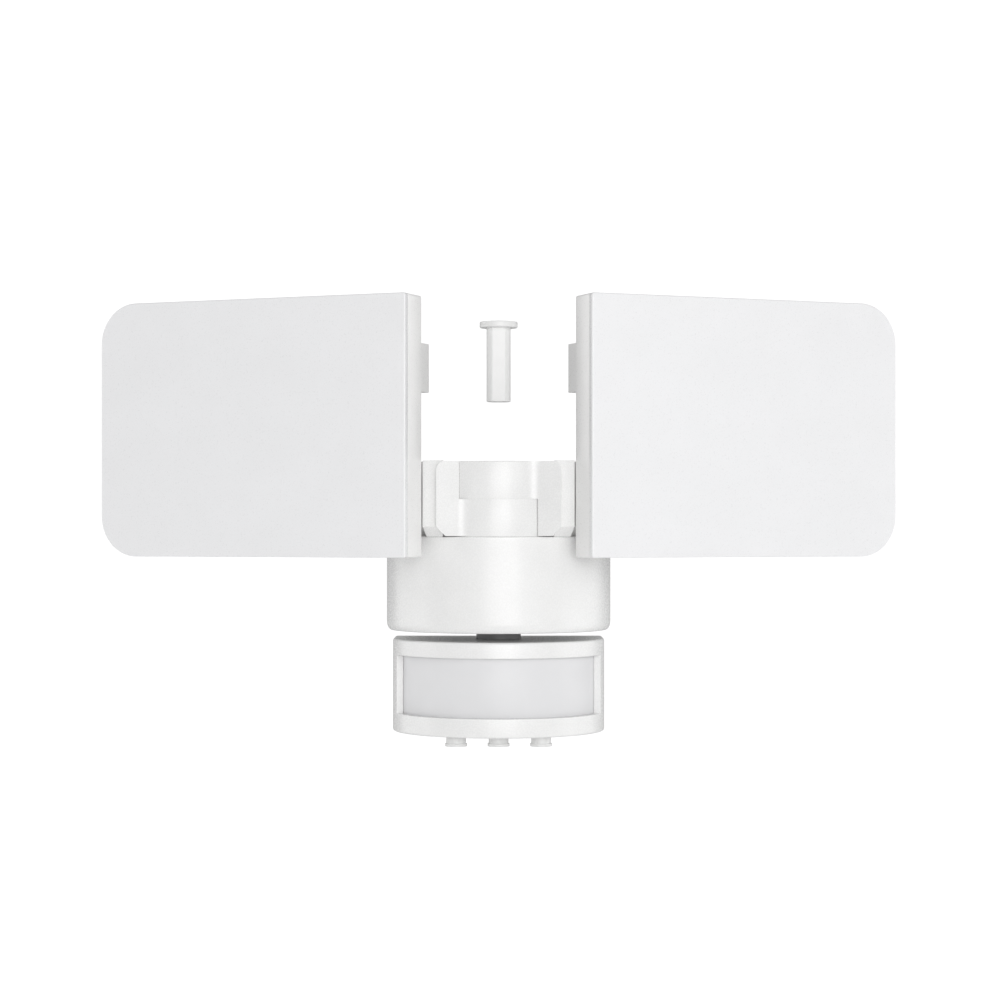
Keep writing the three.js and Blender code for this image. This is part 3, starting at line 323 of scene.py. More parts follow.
# ARMS
# Two white mouldings share the spindle. Each has half the hub's barrel, a wing beside it and a link
# back to its lamp head. The left arm has the lower barrel, the right arm the upper.
HUB_BOTTOM, HUB_SPLIT, HUB_TOP = 3.9, 16.65, 29.7
BARREL_FOOT = 3.65
BARREL_RADIUS, BARREL_BORE = 24.0, 9.4
SWEEP_BACK = np.radians(22.5)
HEAD_CORNER = np.array([31.8, -112.0])
TILT_Z = 16.65
WING_ROOT, WING_TIP = np.array([13.6, -100.3]), np.array([21.4, -103.0])
WING_CORNER = 3.1
BLEND_START_ANGLE = -66.0
BLEND_TOWARDS = np.array([12.13, -99.79])
LINK_FRONT, LINK_REAR, LINK_END, LINK_CHAMFER = 21.5, 37.5, 15.0, 3.5
HAIRLINE = 0.01
SHOULDER_FRONT, SHOULDER_REAR, SHOULDER_TOP = 14.4, 22.0, 30.0
SHOULDER_GAP, SHOULDER_HEEL, SHOULDER_ROOT = 0.08, 2.0, 8.0
CLEAR_CORNER = 0.5
BESIDE_BARREL = 0.12


def along_head(along, depth):
    """Plan point at a distance along a right-hand lamp head and a depth behind its face."""
    c, s = np.cos(SWEEP_BACK), np.sin(SWEEP_BACK)
    return HEAD_CORNER + np.array([c * along - s * depth, s * along + c * depth])


def turned(section, centre, points=96):
    """Loops of a turned shape: (radius, height) of each step carried round a vertical axis."""
    a = np.linspace(0, 2 * np.pi, points, endpoint=False)
    return np.array([
        np.stack([centre[0] + r * np.cos(a), centre[1] + r * np.sin(a), np.full(points, z)], -1)
        for r, z in section
    ])


def ring_section(inner, outer, bottom, top, low_edge, high_edge):
    """Closed section of a turned ring with quarter-round corners."""
    t = np.linspace(0, np.pi / 2, 5)
    lo, hi, c, s = low_edge, high_edge, 1 - np.cos(t), 1 - np.sin(t)
    section = [(outer - lo * v, bottom + lo * u) for u, v in zip(c, s)]
    section += [(outer - hi * u, top - hi * v) for u, v in zip(c, s)]
    section += [(inner + hi * v, top - hi * u) for u, v in zip(c, s)]
    section += [(inner + lo * u, bottom + lo * v) for u, v in zip(c, s)]
    return section


def hub_arc(radius, start, stop, count):
    """Plan points on a circle about the spindle, from one angle to another in degrees."""
    a = np.radians(np.linspace(start, stop, count))
    return np.stack([radius * np.cos(a), HINGE_Y + radius * np.sin(a)], -1)


def wing_plan(z, own):
    """Plan of wing and link at a height, for the right-hand side.

    At its own barrel's height the wing starts inside the barrel and flows out of its face along a
    parabola; beside the other barrel it follows that barrel's face a hair away, and the corner
    behind its tip keeps clear of that barrel.
    """
    low, high = z - HUB_BOTTOM, HUB_TOP - z
    trim = max(0.0, WING_CORNER - low)
    if high < WING_CORNER:
        trim = WING_CORNER - np.sqrt(WING_CORNER ** 2 - (WING_CORNER - max(high, 0.0)) ** 2)
    fall = (WING_TIP - WING_ROOT) / (WING_TIP[0] - WING_ROOT[0])
    tip = WING_TIP - fall * trim
    front = LINK_FRONT + max(0.0, LINK_CHAMFER - low)
    reach = (tip[0] - HEAD_CORNER[0] + np.sin(SWEEP_BACK) * front) / np.cos(SWEEP_BACK)
    outer = [along_head(reach, front), along_head(LINK_END, front), along_head(LINK_END, LINK_REAR)]
    if own:
        inner = hub_arc(BARREL_RADIUS - 0.8, 6.0, -62.0, 24)
        start = hub_arc(BARREL_RADIUS, BLEND_START_ANGLE, BLEND_START_ANGLE, 1)[0]
        t = np.linspace(0, 1, 10)[:, None]
        end = WING_ROOT + 1.01 * fall
        flow = (1 - t) ** 2 * start + 2 * t * (1 - t) * BLEND_TOWARDS + t ** 2 * end
    else:
        inner = hub_arc(BARREL_RADIUS + BESIDE_BARREL, 9.6, -56.1, 24)
        flow = np.linspace(inner[-1], WING_ROOT, 10)
        away = outer[0] - (0, HINGE_Y)
        outer[0] = (0, HINGE_Y) + away * max(1, (BARREL_RADIUS + CLEAR_CORNER) / np.linalg.norm(away))
    return np.concatenate([inner, flow, [tip], outer])


def wing_skin(low_barrel):
    """Wing and link as a stack of plans: the bottom's chamfers, both barrels' levels, the round top."""
    chamfers = HUB_BOTTOM + np.array([0.0, WING_CORNER, LINK_CHAMFER])
    rounded = HUB_TOP - WING_CORNER * (1 - np.sin(np.linspace(0, np.pi / 2, 8)))
    levels = [(z, (z < HUB_SPLIT) == low_barrel) for z in np.concatenate([chamfers, rounded])]
    own_way = -HAIRLINE if low_barrel else HAIRLINE
    levels += [(HUB_SPLIT + 3 * own_way, True), (HUB_SPLIT + own_way, False)]
    stack = [(wing_plan(z, own), z) for z, own in sorted(levels)]
    return skin_of(np.array([np.column_stack([plan, np.full(len(plan), z)]) for plan, z in stack]))


def shoulder_skin():
    """The link's shoulder between wing and head: its face leans back by the chamfer at its foot."""
    loops = []
    for z, back in ((BARREL_FOOT, LINK_CHAMFER), (BARREL_FOOT + LINK_CHAMFER, 0), (SHOULDER_TOP, 0)):
        front = SHOULDER_FRONT + back
        end = [(-SHOULDER_GAP, front), (-SHOULDER_GAP, SHOULDER_REAR)]
        places = end + [(-SHOULDER_HEEL, SHOULDER_REAR), (back / 2 - SHOULDER_ROOT, front)]
        loops.append([(*along_head(along, depth), z) for along, depth in places])
    return skin_of(np.array(loops))


def barrel_skin(low_barrel):
    """The arm's half of the hub, with a crisp edge at the split and a soft one outside."""
    if low_barrel:
        section = ring_section(BARREL_BORE, BARREL_RADIUS, BARREL_FOOT, HUB_SPLIT - HAIRLINE, 0.04, 0.01)
    else:
        section = ring_section(BARREL_BORE, BARREL_RADIUS, HUB_SPLIT + HAIRLINE, HUB_TOP, 0.01, 0.3)
    return skin_of(turned(section, (0, HINGE_Y), 144), "joined")


def on_side(side, skin):
    """The same skin, or its mirror image across X for the left-hand side."""
    points, faces = skin
    return points * [side, 1, 1], faces


arm_white = grained("white_arm_plastic", WHITE_PALE, WHITE_DEEP, 0.22, 0.32, 2300, 70, 0.16, shine=0.5)
for side, label in ((-1, "left"), (1, "right")):
    skins = [on_side(side, skin) for skin in (wing_skin(side < 0), barrel_skin(side < 0), shoulder_skin())]
    make_piece(
        f"{label}_arm_moulding", skins, arm_white, f"{label}_arm_body", [f"{label}_arm"],
        0.06,
    )

# TILT SHAFTS AND KNOBS
# A zinc-plated shaft is pressed into each arm's link; a white fluted knob on its end clamps the
# lamp head's bracket.
TILT_DEPTH = 29.5
SHAFT_RADIUS, SHAFT_START, SHAFT_END = 5.0, 7.5, 43.3
KNOB_START, KNOB_LENGTH, KNOB_RADIUS, KNOB_FLUTES, FLUTE_DEPTH = 37.9, 7.0, 8.0, 8, 1.1


def on_head(side, along, depth, up):
    """Points at a distance along, a depth behind and a height in a lamp head's own frame."""
    c, s = np.cos(SWEEP_BACK), np.sin(SWEEP_BACK)
    x = HEAD_CORNER[0] + c * along - s * depth
    y = HEAD_CORNER[1] + s * along + c * depth
    return np.stack([side * x, y, up + 0 * x], -1)


def about_tilt_axis(side, steps, radius, points=128):
    """Loops about the tilt shaft: radius(angle) times each step's scale, at its place along."""
    a = np.linspace(0, 2 * np.pi, points, endpoint=False)
    r = radius(a)
    return np.array([
        on_head(side, np.full(points, along), TILT_DEPTH + k * r * np.cos(a), TILT_Z + k * r * np.sin(a))
        for along, k in steps
    ])


def fluted(a):
    """Knob radius: a full circle with a scallop every eighth of a turn."""
    return KNOB_RADIUS - FLUTE_DEPTH * np.clip(np.cos(KNOB_FLUTES * a) - 0.35, 0, None) / 0.65


knob_white = grained("white_knob_plastic", WHITE_PALE, WHITE_DEEP, 0.34, 0.5, 1700, 80, 0.2)
for side, label in ((-1, "left"), (1, "right")):
    steps = [(SHAFT_START, 0.9), (SHAFT_START + 0.5, 1), (SHAFT_END - 0.5, 1), (SHAFT_END, 0.9)]
    shaft = about_tilt_axis(side, steps, lambda a: np.full_like(a, SHAFT_RADIUS), 72)
    make_piece(
        f"{label}_turned_shaft", [skin_of(shaft)], zinc, f"{label}_arm_body",
        [f"{label}_tilt_shaft"],
    )
    steps = [(0, 0.5), (0, 0.92), (0.1, 0.96), (0.35, 0.99), (0.8, 1), (5.6, 1), (6.2, 0.985)]
    steps += [(6.7, 0.94), (6.95, 0.88), (7.0, 0.8), (7.0, 0.62), (6.7, 0.58), (6.7, 0.3)]
    knob = about_tilt_axis(side, [(KNOB_START + d, k) for d, k in steps], fluted, 160)
    make_piece(
        f"{label}_fluted_knob", [skin_of(knob)], knob_white, f"{label}_knob",
        [f"{label}_tilt_knob"],
    )

# LAMP HEADS
# Each is a shallow white moulded tray, round at its outer corners and square at the inner, closed
# by a full-face opal cover on a rubber gasket. A white LED board lies on bosses inside.
HEAD_WIDTH, HEAD_HEIGHT, HEAD_DEPTH, HEAD_LOW = 120.0, 90.1, 14.0, -3.5
HEAD_ROUND, HEAD_SQUARE = 14.5, 0.8
COVER_DEPTH, COVER_GAP = 2.6, 0.03
COVER_ROLL, ROLL_WIDTH = 0.5, 16.0
TRAY_WALL, TRAY_FLOOR = 3.0, 11.6


def head_plan(inset):
    """A head's outline about its own middle: round outer corners, square inner ones."""
    return box_plan(inset, HEAD_WIDTH, HEAD_HEIGHT, (HEAD_ROUND, HEAD_SQUARE, HEAD_SQUARE, HEAD_ROUND), 20)


def head_skin(side, profile, roll=0.0):
    """Loops of the head's outline at each (inset, depth), leaning back by roll at the outer end."""
    loops = raise_plan(head_plan, profile)
    along = loops[..., 0] + HEAD_WIDTH / 2
    end = np.clip((along - HEAD_WIDTH + ROLL_WIDTH) / ROLL_WIDTH, 0, 1)
    depth = loops[..., 2] + roll * end ** 2 * (loops[..., 2] < COVER_DEPTH / 2)
    return skin_of(on_head(side, along, depth, loops[..., 1] + HEAD_LOW + HEAD_HEIGHT / 2))


def cover_profile():
    """Flat face, a small round edge, the rim behind it."""
    face = [(inset, 0) for inset in (30.0, 20.0, 16.0, 12.0, 8.0, 4.0, 2.0, 0.7)]
    edge = soft_corner(0.4, 0.4, 0)
    return face + edge + [(0, COVER_DEPTH - 0.3), (0.15, COVER_DEPTH), (TRAY_WALL, COVER_DEPTH)]


def tray_profile():
    """Rear face, its round edge, outer wall, rim, inner wall and floor."""
    rim = COVER_DEPTH + COVER_GAP
    rear = [(16.0, HEAD_DEPTH), (3.0, HEAD_DEPTH), (0.8, HEAD_DEPTH)] + soft_corner(0.5, 0.5, HEAD_DEPTH, -1)
    lip = [(0, rim + 0.4), (0.12, rim), (TRAY_WALL - 0.2, rim), (TRAY_WALL, rim + 0.2)]
    return rear + lip + [(TRAY_WALL, TRAY_FLOOR - 0.4), (TRAY_WALL + 0.4, TRAY_FLOOR), (16.0, TRAY_FLOOR)]


opal = grained(
    "opal_cover_plastic", (0.885, 0.886, 0.896), (0.872, 0.873, 0.882), 0.26, 0.34, 2200, 60, 0.08,
    shine=0.7,
)
shell_white = grained(
    "white_shell_plastic", (0.915, 0.912, 0.905), (0.895, 0.892, 0.885), 0.26, 0.36, 2400, 70,
    0.10, shine=0.7,
)
board_white = grained("white_led_board", (0.82, 0.82, 0.80), (0.76, 0.76, 0.74), 0.35, 0.5, 900, 300, 0.15)
dress(board_white, "left_led_board", "right_led_board")
dress(rubber, "left_cover_gasket", "right_cover_gasket")
for side, label in ((-1, "left"), (1, "right")):
    head = f"{label}_head"
    make_piece(
        f"{label}_opal_cover", [head_skin(side, cover_profile(), COVER_ROLL)], opal, head,
        [f"{label}_front_cover"],
    )
    make_piece(
        f"{label}_moulded_tray", [head_skin(side, tray_profile())], shell_white, head,
        [f"{label}_rear_shell"],
    )

# TILT BRACKETS
# A powder-coated steel pressing is screwed to each head's back; its two round-ended ears hang on
# the tilt shaft.
EAR_RADIUS, EAR_THICKNESS = 9.5, 5.0
EAR_PLACES = (15.3, 32.3)
BRACKET_LOW, BRACKET_HIGH, BRACKET_FRONT, BRACKET_REAR = -12.0, 12.0, 14.3, 16.5


def head_block(side, x0, x1, y0, y1, z0, z1, corner=0.5):
    """A block in a head's frame: a round-cornered rectangle of (along, depth), carried upwards."""
    plan = box_plan(0, x1 - x0, y1 - y0, (corner,) * 4, 5) + [(x0 + x1) / 2, (y0 + y1) / 2]
    return skin_of(np.array([on_head(side, plan[:, 0], plan[:, 1], z) for z in (z0, z1)]))


def ear_skin(side, x0):
    """A straight foot with a round end about the tilt axis, carried through its thickness."""
    a = np.linspace(-np.pi / 2, np.pi / 2, 40)
    foot = [BRACKET_FRONT + 0.5]
    depth = np.concatenate([foot, TILT_DEPTH + EAR_RADIUS * np.cos(a), foot])
    up = TILT_Z + EAR_RADIUS * np.concatenate([[-1], np.sin(a), [1]])
    return skin_of(np.array([on_head(side, np.full(42, x), depth, up) for x in (x0, x0 + EAR_THICKNESS)]))


powder_white = grained(
    "white_powder_coat", (0.86, 0.86, 0.855), (0.83, 0.83, 0.825), 0.4, 0.55, 1400, 90, 0.25
)
for side, label in ((-1, "left"), (1, "right")):
    end = EAR_PLACES[1] + EAR_THICKNESS
    low, high = TILT_Z + BRACKET_LOW, TILT_Z + BRACKET_HIGH
    plate = head_block(side, EAR_PLACES[0], end, BRACKET_FRONT, BRACKET_REAR, low, high)
    ears = [ear_skin(side, place) for place in EAR_PLACES]
    make_piece(
        f"{label}_bracket_pressing", [plate, *ears], powder_white, f"{label}_head",
        [f"{label}_tilt_bracket"], 0.4,
    )

# HEAT SINKS
# A length of bare aluminium extrusion with upright fins is clamped to each head's back.
SINK_START, SINK_LENGTH, SINK_FOOT, SINK_ROOT, SINK_TIP = 48.0, 60.0, 14.3, 15.9, 20.9
SINK_LOW, SINK_HIGH = 4.65, 48.65
FIN_COUNT, FIN_THICKNESS, FIN_DRAFT = 14, 1.4, 0.15


def sink_skin(side):
    """The extrusion's comb of slightly tapered fins, carried from its lower to its upper end."""
    left = SINK_START + (SINK_LENGTH - FIN_THICKNESS) / (FIN_COUNT - 1) * np.arange(FIN_COUNT)
    across = np.array([0, FIN_DRAFT, FIN_THICKNESS - FIN_DRAFT, FIN_THICKNESS])
    along = (left[:, None] + across).ravel()
    depth = np.tile([SINK_ROOT, SINK_TIP, SINK_TIP, SINK_ROOT], FIN_COUNT)
    along = np.concatenate([[SINK_START + SINK_LENGTH, SINK_START], along])
    depth = np.concatenate([[SINK_FOOT, SINK_FOOT], depth])
    return skin_of(np.array([on_head(side, along, depth, z) for z in (SINK_LOW, SINK_HIGH)]))


sink_metal = grained(
    "bare_extruded_aluminium", (0.78, 0.79, 0.80), (0.66, 0.67, 0.69), 0.28, 0.5, 1500, 120, 0.2,
    1.0,
)
for side, label in ((-1, "left"), (1, "right")):
    make_piece(
        f"{label}_finned_extrusion", [sink_skin(side)], sink_metal, f"{label}_head",
        [f"{label}_heat_sink"], 0.1,
    )

# JUNCTION BOXES
# A white moulded box on each head's back joins the LED board's wires to the arm's lead, which comes
# in through a black nylon gland below; a raised panel closes its rear.
JUNCTION = (2.7, 46.7, 14.3, 26.7, 53.9, 70.9)
GLAND_ALONG, GLAND_DEPTH, GLAND_BORE = 36.7, 20.5, 2.0


def gland_skin(side):
    """Round the gland's axis: the cable's bore, a domed nut and a hexagon against the box.

    The radius of the hexagon at angle a is its inner radius over the cosine of the angle to the
    middle of the nearest flat.
    """
    a = np.linspace(0, 2 * np.pi, 72, endpoint=False)
    hexagon = np.cos(np.pi / 6) / np.cos(a % (np.pi / 3) - np.pi / 6)
    domed = [(GLAND_BORE, 5.0), (GLAND_BORE, 8.4), (2.2, 8.6), (3.2, 9.0), (4.0, 8.2), (4.3, 6.5), (4.3, 4.4)]
    flats = [(4.5, 4.2), (4.5, 0.3), (4.3, 0.1)]
    steps = [(r + 0 * a, drop) for r, drop in domed] + [(r * hexagon, drop) for r, drop in flats]
    return skin_of(np.array([
        on_head(side, GLAND_ALONG + r * np.cos(a), GLAND_DEPTH + r * np.sin(a), JUNCTION[4] - drop)
        for r, drop in steps
    ]))


for side, label in ((-1, "left"), (1, "right")):
    x0, x1, y0, y1, z0, z1 = JUNCTION
    body = head_block(side, x0, x1, y0, y1 - 0.5, z0, z1, 0.3)
    panel = head_block(side, x0 + 1.5, x1 - 1.5, y1 - 1.0, y1, z0 + 1.5, z1 - 1.5, 0.2)
    make_piece(
        f"{label}_junction_moulding", [body, panel], shell_white, f"{label}_head",
        [f"{label}_junction_box"], 0.3,
    )
    make_piece(
        f"{label}_gland_nut", [gland_skin(side)], black_moulded, f"{label}_head",
        [f"{label}_cable_gland"],
    )

# HEAD SCREWS
# Pan-head zinc-plated screws with a straight slot: four through each tray's rear corners into the
# cover's bosses, four through the bracket's plate and two that hold the junction box's panel.
PAN_HEIGHT, PAN_SLOT_WIDTH, PAN_SLOT_DEPTH = 1.2, 0.7, 0.5
TRAY_SCREWS = ((9.0, -39.0), (9.0, 32.0), (110.0, -39.0), (110.0, 32.0))
PLATE_SCREWS = ((23.6, -8.0), (23.6, 8.0), (28.6, -8.0), (28.6, 8.0))
PANEL_SCREWS = ((7.2, 0.0), (42.2, 0.0))


def pan_skins(side, along, up, seat, radius):
    """A low disc up to the slot's floor, then two half domes beside the slot, all about one axis."""
    a = np.linspace(0, 2 * np.pi, 40, endpoint=False)
    floor = PAN_HEIGHT - PAN_SLOT_DEPTH
    x, z = along + radius * np.cos(a), up + radius * np.sin(a)
    disc = [on_head(side, x, seat + h + 0 * a, z) for h in (-0.3, floor)]
    skins = [skin_of(np.array(disc))]
    reach = np.arccos(PAN_SLOT_WIDTH / 2 / radius)
    b = np.linspace(-reach, reach, 25)
    for way in (-1, 1):
        x, z = way * (radius * np.cos(b) - PAN_SLOT_WIDTH / 2), radius * np.sin(b)
        start = along + way * PAN_SLOT_WIDTH / 2
        dome = ((1, floor - 0.05), (1, 0.85), (0.95, 1.02), (0.85, 1.13), (0.7, PAN_HEIGHT))
        loops = [on_head(side, start + k * x, seat + h + 0 * b, up + k * z) for k, h in dome]
        skins.append(skin_of(np.array(loops)))
    return skins


for side, label in ((-1, "left"), (1, "right")):
    middle, panel = HEAD_LOW + HEAD_HEIGHT / 2, (JUNCTION[4] + JUNCTION[5]) / 2
    groups = (
        ("tray", TRAY_SCREWS, middle, HEAD_DEPTH, 2.6),
        ("bracket", PLATE_SCREWS, TILT_Z, BRACKET_REAR, 1.7),
        ("panel", PANEL_SCREWS, panel, JUNCTION[3], 1.9),
    )
    for group, places, height, seat, radius in groups:
        skins = [skin for x, z in places for skin in pan_skins(side, x, height + z, seat, radius)]
        make_piece(f"{label}_{group}_screws", skins, zinc, f"{label}_head", [])

# PIVOT PIN
# A white moulded pin with a thin round head and flats along its shank. It stands drawn up out of
# the hub and drops into the spindle when the light is put together.
PIN_UNDERSIDE = 77.2
PIN_SHANK_RADIUS, PIN_FLAT, PIN_LENGTH = 4.25, 3.6, 26.1
PIN_HEAD_RADIUS, PIN_HEAD_HEIGHT = 6.7, 2.1


def shank_skin():
    """A round bar whose front and back are cut off at the flats, slightly drawn in at its end."""
    a = np.linspace(0, 2 * np.pi, 96, endpoint=False)
    across = np.clip(PIN_SHANK_RADIUS * np.sin(a), -PIN_FLAT, PIN_FLAT)
    plan = np.stack([PIN_SHANK_RADIUS * np.cos(a), across], -1)
    end = PIN_UNDERSIDE - PIN_LENGTH
    steps = [(0.9, 0), (0.97, 0.04), (1, 0.25), (1, PIN_LENGTH + 0.5)]
    return skin_of(np.array([
        np.column_stack([plan * k + [0, HINGE_Y], np.full(96, end + up)]) for k, up in steps
    ]))


def pin_head_skin():
    """A turned disc with quarter-round edges, upper and lower."""
    lower_edge = soft_corner(0.3, 0.3, 0, 1, 5)
    upper_edge = soft_corner(0.3, 0.3, PIN_HEAD_HEIGHT, -1, 5)
    lower = [(PIN_HEAD_RADIUS - i, PIN_UNDERSIDE + h) for i, h in lower_edge]
    upper = [(PIN_HEAD_RADIUS - i, PIN_UNDERSIDE + h) for i, h in upper_edge]
    inner = PIN_HEAD_RADIUS - 1.0
    section = [(inner, PIN_UNDERSIDE), *lower, *upper[::-1], (inner, PIN_UNDERSIDE + PIN_HEAD_HEIGHT)]
    return skin_of(turned(section, (0, HINGE_Y)))


pin_white = grained("white_pin_plastic", WHITE_PALE, WHITE_DEEP, 0.34, 0.46, 2000, 80, 0.15)
make_piece(
    "pivot_pin_moulding", [shank_skin(), pin_head_skin()], pin_white, "pin", ["pivot_pin"],
)

# MOTION SENSOR
# A white half-round moulding hangs under the drum on a grey nylon neck. A frosted curved lens sits
# behind the wide window in its front; a board with the detector can stands behind the lens.
SENSOR_TOP, SENSOR_BOTTOM = -32.9, -65.9
SENSOR_RADIUS, SENSOR_REAR, SENSOR_CORNER, SENSOR_WALL = 38.0, 19.0, 1.5, 2.4
WINDOW_LOW, WINDOW_HIGH, WINDOW_ANGLE = -59.2, -38.4, 73.0
LENS_RADIUS, LENS_THICKNESS, LENS_ANGLE, LENS_LAP = 35.55, 1.4, 77.0, 1.9


def sensor_plan(inset):
    """The sensor's plan, with the same three degrees between points all round its front."""
    return d_plan(inset, SENSOR_RADIUS, SENSOR_REAR, SENSOR_CORNER)


def sensor_skin():
    """The sensor's wall: outside from the neck's hole to the floor's rim, then back up inside.

    The quads between the window's rows and columns are left out of both walls, and quads across
    the wall's thickness close the window's four sides.
    """
    edge = 0.8
    outside = [(4.0, SENSOR_TOP), (1.2, SENSOR_TOP)] + soft_corner(edge, edge, SENSOR_TOP, -1)
    outside += [(0, WINDOW_HIGH), (0, WINDOW_LOW)] + soft_corner(edge, edge, SENSOR_BOTTOM)[::-1]
    inside = [(SENSOR_WALL, SENSOR_BOTTOM), (SENSOR_WALL, WINDOW_LOW), (SENSOR_WALL, WINDOW_HIGH)]
    inside += [(SENSOR_WALL, SENSOR_TOP - SENSOR_WALL)]
    rings = raise_plan(sensor_plan, outside + inside)
    out_high = outside.index((0, WINDOW_HIGH)) + 1
    in_low = len(outside) + 2
    front = np.degrees(np.arctan2(rings[out_high, :, 0], -rings[out_high, :, 1]))
    column = np.flatnonzero((np.abs(front) <= WINDOW_ANGLE + 0.01) & (rings[out_high, :, 1] < 0))
    first, last = column[0], column[-1]
    holes = [hole_in(rings[n], np.zeros(2), 8.3, rings[n, 0, 2]) for n in (0, -1)]
    rings = np.concatenate([holes[:1], rings, holes[1:]])
    points, faces = skin_of(rings + [0, DRUM_AXIS_Y, 0], "joined")
    size = rings.shape[1]
    opened = {row * size + j for row in (out_high, in_low) for j in range(first, last)}
    faces = [face for n, face in enumerate(faces) if n not in opened]
    corner = {
        "out_high": out_high * size, "out_low": (out_high + 1) * size,
        "in_low": in_low * size, "in_high": (in_low + 1) * size,
    }
    j = np.arange(first, last)
    for outer, inner in (("out_high", "in_high"), ("out_low", "in_low")):
        a, b = corner[outer], corner[inner]
        faces += np.stack([a + j, a + j + 1, b + j + 1, b + j], -1).tolist()
    way_round = ("out_high", "out_low", "in_low", "in_high")
    faces += [[corner[name] + n for name in way_round] for n in (first, last)]
    return points, faces


def lens_skin():
    """A curved strip: an outer arc and an inner arc back, carried up between softened edges."""
    a = np.radians(np.linspace(-LENS_ANGLE, LENS_ANGLE, 140)) - np.pi / 2
    bottom, top = WINDOW_LOW - LENS_LAP, WINDOW_HIGH + LENS_LAP
    heights = (bottom, bottom + 0.3, top - 0.3, top)
    outers = (LENS_RADIUS - 0.2, LENS_RADIUS, LENS_RADIUS, LENS_RADIUS - 0.2)
    loops = []
    for z, outer in zip(heights, outers):
        inner = LENS_RADIUS - LENS_THICKNESS
        x = np.concatenate([outer * np.cos(a), inner * np.cos(a[::-1])])
        y = np.concatenate([outer * np.sin(a), inner * np.sin(a[::-1])]) + DRUM_AXIS_Y
        loops.append(np.stack([x, y, np.full(len(x), z)], -1))
    return skin_of(np.array(loops))


NECK_SECTION = [
    (9.5, -37.0), (10.2, -36.9), (10.4, -36.7), (10.4, -35.9), (10.2, -35.7), (8.2, -35.6), (8.0, -35.4),
    (8.0, -27.2), (8.2, -27.0), (10.4, -26.9), (10.4, -25.5), (9.6, -25.3),
]
neck_grey = grained("grey_neck_plastic", (0.46, 0.46, 0.465), (0.42, 0.42, 0.425), 0.38, 0.5, 1700, 90, 0.2)
sensor_white = grained(
    "white_sensor_plastic", WHITE_PALE, WHITE_DEEP, 0.22, 0.32, 2500, 70, 0.16, shine=0.5
)
lens_frost = grained("frosted_lens", (0.775, 0.775, 0.785), (0.755, 0.755, 0.765), 0.4, 0.5, 1900, 60, 0.1)
can_metal = grained(
    "drawn_can_metal", (0.66, 0.67, 0.70), (0.58, 0.60, 0.62), 0.18, 0.3, 1500, 200, 0.08, 1.0
)
make_piece(
    "sensor_neck_moulding", [skin_of(turned(NECK_SECTION, (0, DRUM_AXIS_Y)))], neck_grey, "sensor",
    ["sensor_neck"],
)
make_piece(
    "sensor_moulding", [sensor_skin()], sensor_white, "sensor", ["sensor_housing"],
    0.12,
)
make_piece("sensor_front_lens", [lens_skin()], lens_frost, "sensor", ["sensor_lens"])
dress(sensor_white, "sensor_cover")
dress(board_green, "sensor_board", "control_board")
dress(can_metal, "detector_can")

# SETTING DIALS
# Three small white dials set the lighting time, the light level and the range. Each is a turned
# stem and flange moulded in one, with a screwdriver slot across its lower face.
DIAL_Y, DIAL_PITCH = -87.0, 14.85
DIAL_FACE, DIAL_RADIUS, DIAL_FLANGE, DIAL_STEM, DIAL_TOP = -69.6, 3.85, 1.1, 2.8, -61.2
DIAL_COLLAR, DIAL_NECK = 3.45, -66.05
SLOT_WIDTH, SLOT_DEPTH = 0.9, 0.6


def dial_skins(x):
    """The stem and flange turned down to the slot's floor, and the two half discs beside the slot."""
    floor = DIAL_FACE + SLOT_DEPTH
    lip = DIAL_FACE + DIAL_FLANGE
    section = [(2.5, DIAL_TOP), (2.7, DIAL_TOP), (DIAL_STEM, DIAL_TOP - 0.1), (DIAL_STEM, DIAL_NECK + 0.1)]
    section += [(DIAL_COLLAR - 0.1, DIAL_NECK + 0.1), (DIAL_COLLAR, DIAL_NECK), (DIAL_COLLAR, lip + 0.05)]
    section += [(DIAL_RADIUS - 0.15, lip), (DIAL_RADIUS, lip - 0.15), (DIAL_RADIUS, floor), (3.0, floor)]
    skins = [skin_of(turned(section, (x, DIAL_Y), 64))]
    for way in (-1, 1):
        reach = np.arccos(SLOT_WIDTH / 2 / DIAL_RADIUS)
        a = np.linspace(-reach, reach, 33)
        half = np.stack([DIAL_RADIUS * np.sin(a), way * DIAL_RADIUS * np.cos(a)], -1)
        centre = np.array([0, way * (SLOT_WIDTH / 2 + 0.02)])
        loops = [
            np.column_stack([centre + (half - centre) * k + [x, DIAL_Y], np.full(33, z)])
            for k, z in ((0.93, DIAL_FACE), (0.97, DIAL_FACE + 0.04), (1, DIAL_FACE + 0.2), (1, floor + 0.1))
        ]
        skins.append(skin_of(np.array(loops)))
    return skins


dial_white = grained(
    "white_dial_plastic", (0.82, 0.82, 0.815), (0.79, 0.79, 0.785), 0.34, 0.46, 2000, 90, 0.15
)
for place, label in ((-1, "time"), (0, "light"), (1, "range")):
    make_piece(
        f"{label}_setting_dial", dial_skins(place * DIAL_PITCH), dial_white, f"{label}_dial_body",
        [f"{label}_dial"],
    )

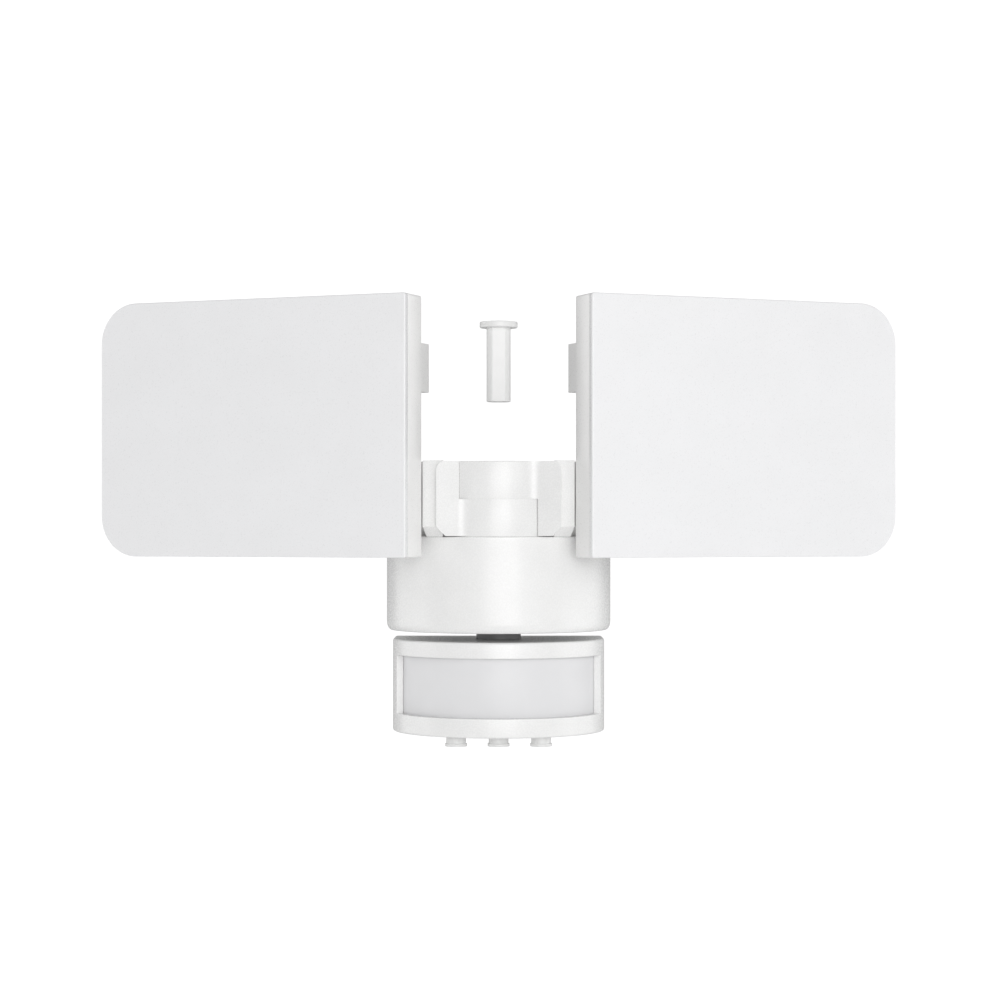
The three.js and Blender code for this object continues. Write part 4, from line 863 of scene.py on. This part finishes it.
# STAGE, LIGHT AND CAMERA
# An even pale surround, a pale round floor well below the light, a wide soft key to the right of
# the camera, a fill behind the camera and a softbox at either side.
FLOOR_RADIUS, FLOOR_HEIGHT = 1.25, -0.45
floor_mesh = bpy.data.meshes.new("floor")
around = np.linspace(0, 2 * np.pi, 128, endpoint=False)
rim_x, rim_y = FLOOR_RADIUS * np.cos(around), FLOOR_RADIUS * np.sin(around)
disc = np.stack([rim_x, rim_y, np.full(128, FLOOR_HEIGHT)], -1)
floor_mesh.from_pydata(disc.tolist(), [], [list(range(128))])
floor = bpy.data.objects.new("floor", floor_mesh)
bpy.context.scene.collection.objects.link(floor)
floor_pale = grained("pale_floor", (0.88, 0.88, 0.88), (0.86, 0.86, 0.86), 0.6, 0.7, 40, 2, 0.05)
floor_mesh.materials.append(floor_pale)

world = bpy.data.worlds.new("studio")
world.use_nodes = True
bpy.context.scene.world = world
tree = world.node_tree
surround = tree.nodes["Background"]
surround.inputs["Color"].default_value = (1, 1, 1, 1)
surround.inputs["Strength"].default_value = 0.39
backdrop = tree.nodes.new("ShaderNodeBackground")
backdrop.inputs["Color"].default_value = (1, 1, 1, 1)
backdrop.inputs["Strength"].default_value = 1.1
seen = tree.nodes.new("ShaderNodeLightPath")
choose = tree.nodes.new("ShaderNodeMixShader")
tree.links.new(seen.outputs["Is Camera Ray"], choose.inputs["Fac"])
tree.links.new(surround.outputs[0], choose.inputs[1])
tree.links.new(backdrop.outputs[0], choose.inputs[2])
tree.links.new(choose.outputs[0], tree.nodes["World Output"].inputs["Surface"])


def softbox(name, azimuth, height, distance, width, tall, radiance):
    """A rectangular area light facing the lamp, azimuth in degrees to the camera's right."""
    lamp = bpy.data.lights.new(name, "AREA")
    lamp.shape = "RECTANGLE"
    lamp.size, lamp.size_y = width, tall
    lamp.energy = radiance * np.pi * width * tall
    thing = bpy.data.objects.new(name, lamp)
    bpy.context.scene.collection.objects.link(thing)
    a = np.radians(azimuth)
    aim = Vector((0, -0.08, 0.0))
    thing.location = aim + Vector((distance * np.sin(a), -distance * np.cos(a), height))
    thing.rotation_euler = (aim - thing.location).to_track_quat("-Z", "Y").to_euler()
    return thing


softbox("key", 20, 0.4, 1.6, 1.2, 0.9, 1.8)
softbox("fill", 4, 0.02, 1.3, 0.8, 0.6, 3.4)
softbox("right", 98, 0.05, 1.3, 1.3, 1.2, 1.0)
softbox("left", -102, 0.05, 1.3, 1.3, 1.2, 1.3)

camera = bpy.data.cameras.new("camera")
camera.lens = 85
camera.sensor_width = 36
camera.shift_x = 0.0014
camera.shift_y = 0.027
camera.clip_start = 0.05
viewer = bpy.data.objects.new("camera", camera)
viewer.location = (0, -0.912, 0.007)
viewer.rotation_euler = (np.pi / 2, 0, 0)
bpy.context.scene.collection.objects.link(viewer)
bpy.context.scene.camera = viewer
bpy.context.scene.view_settings.view_transform = "Standard"
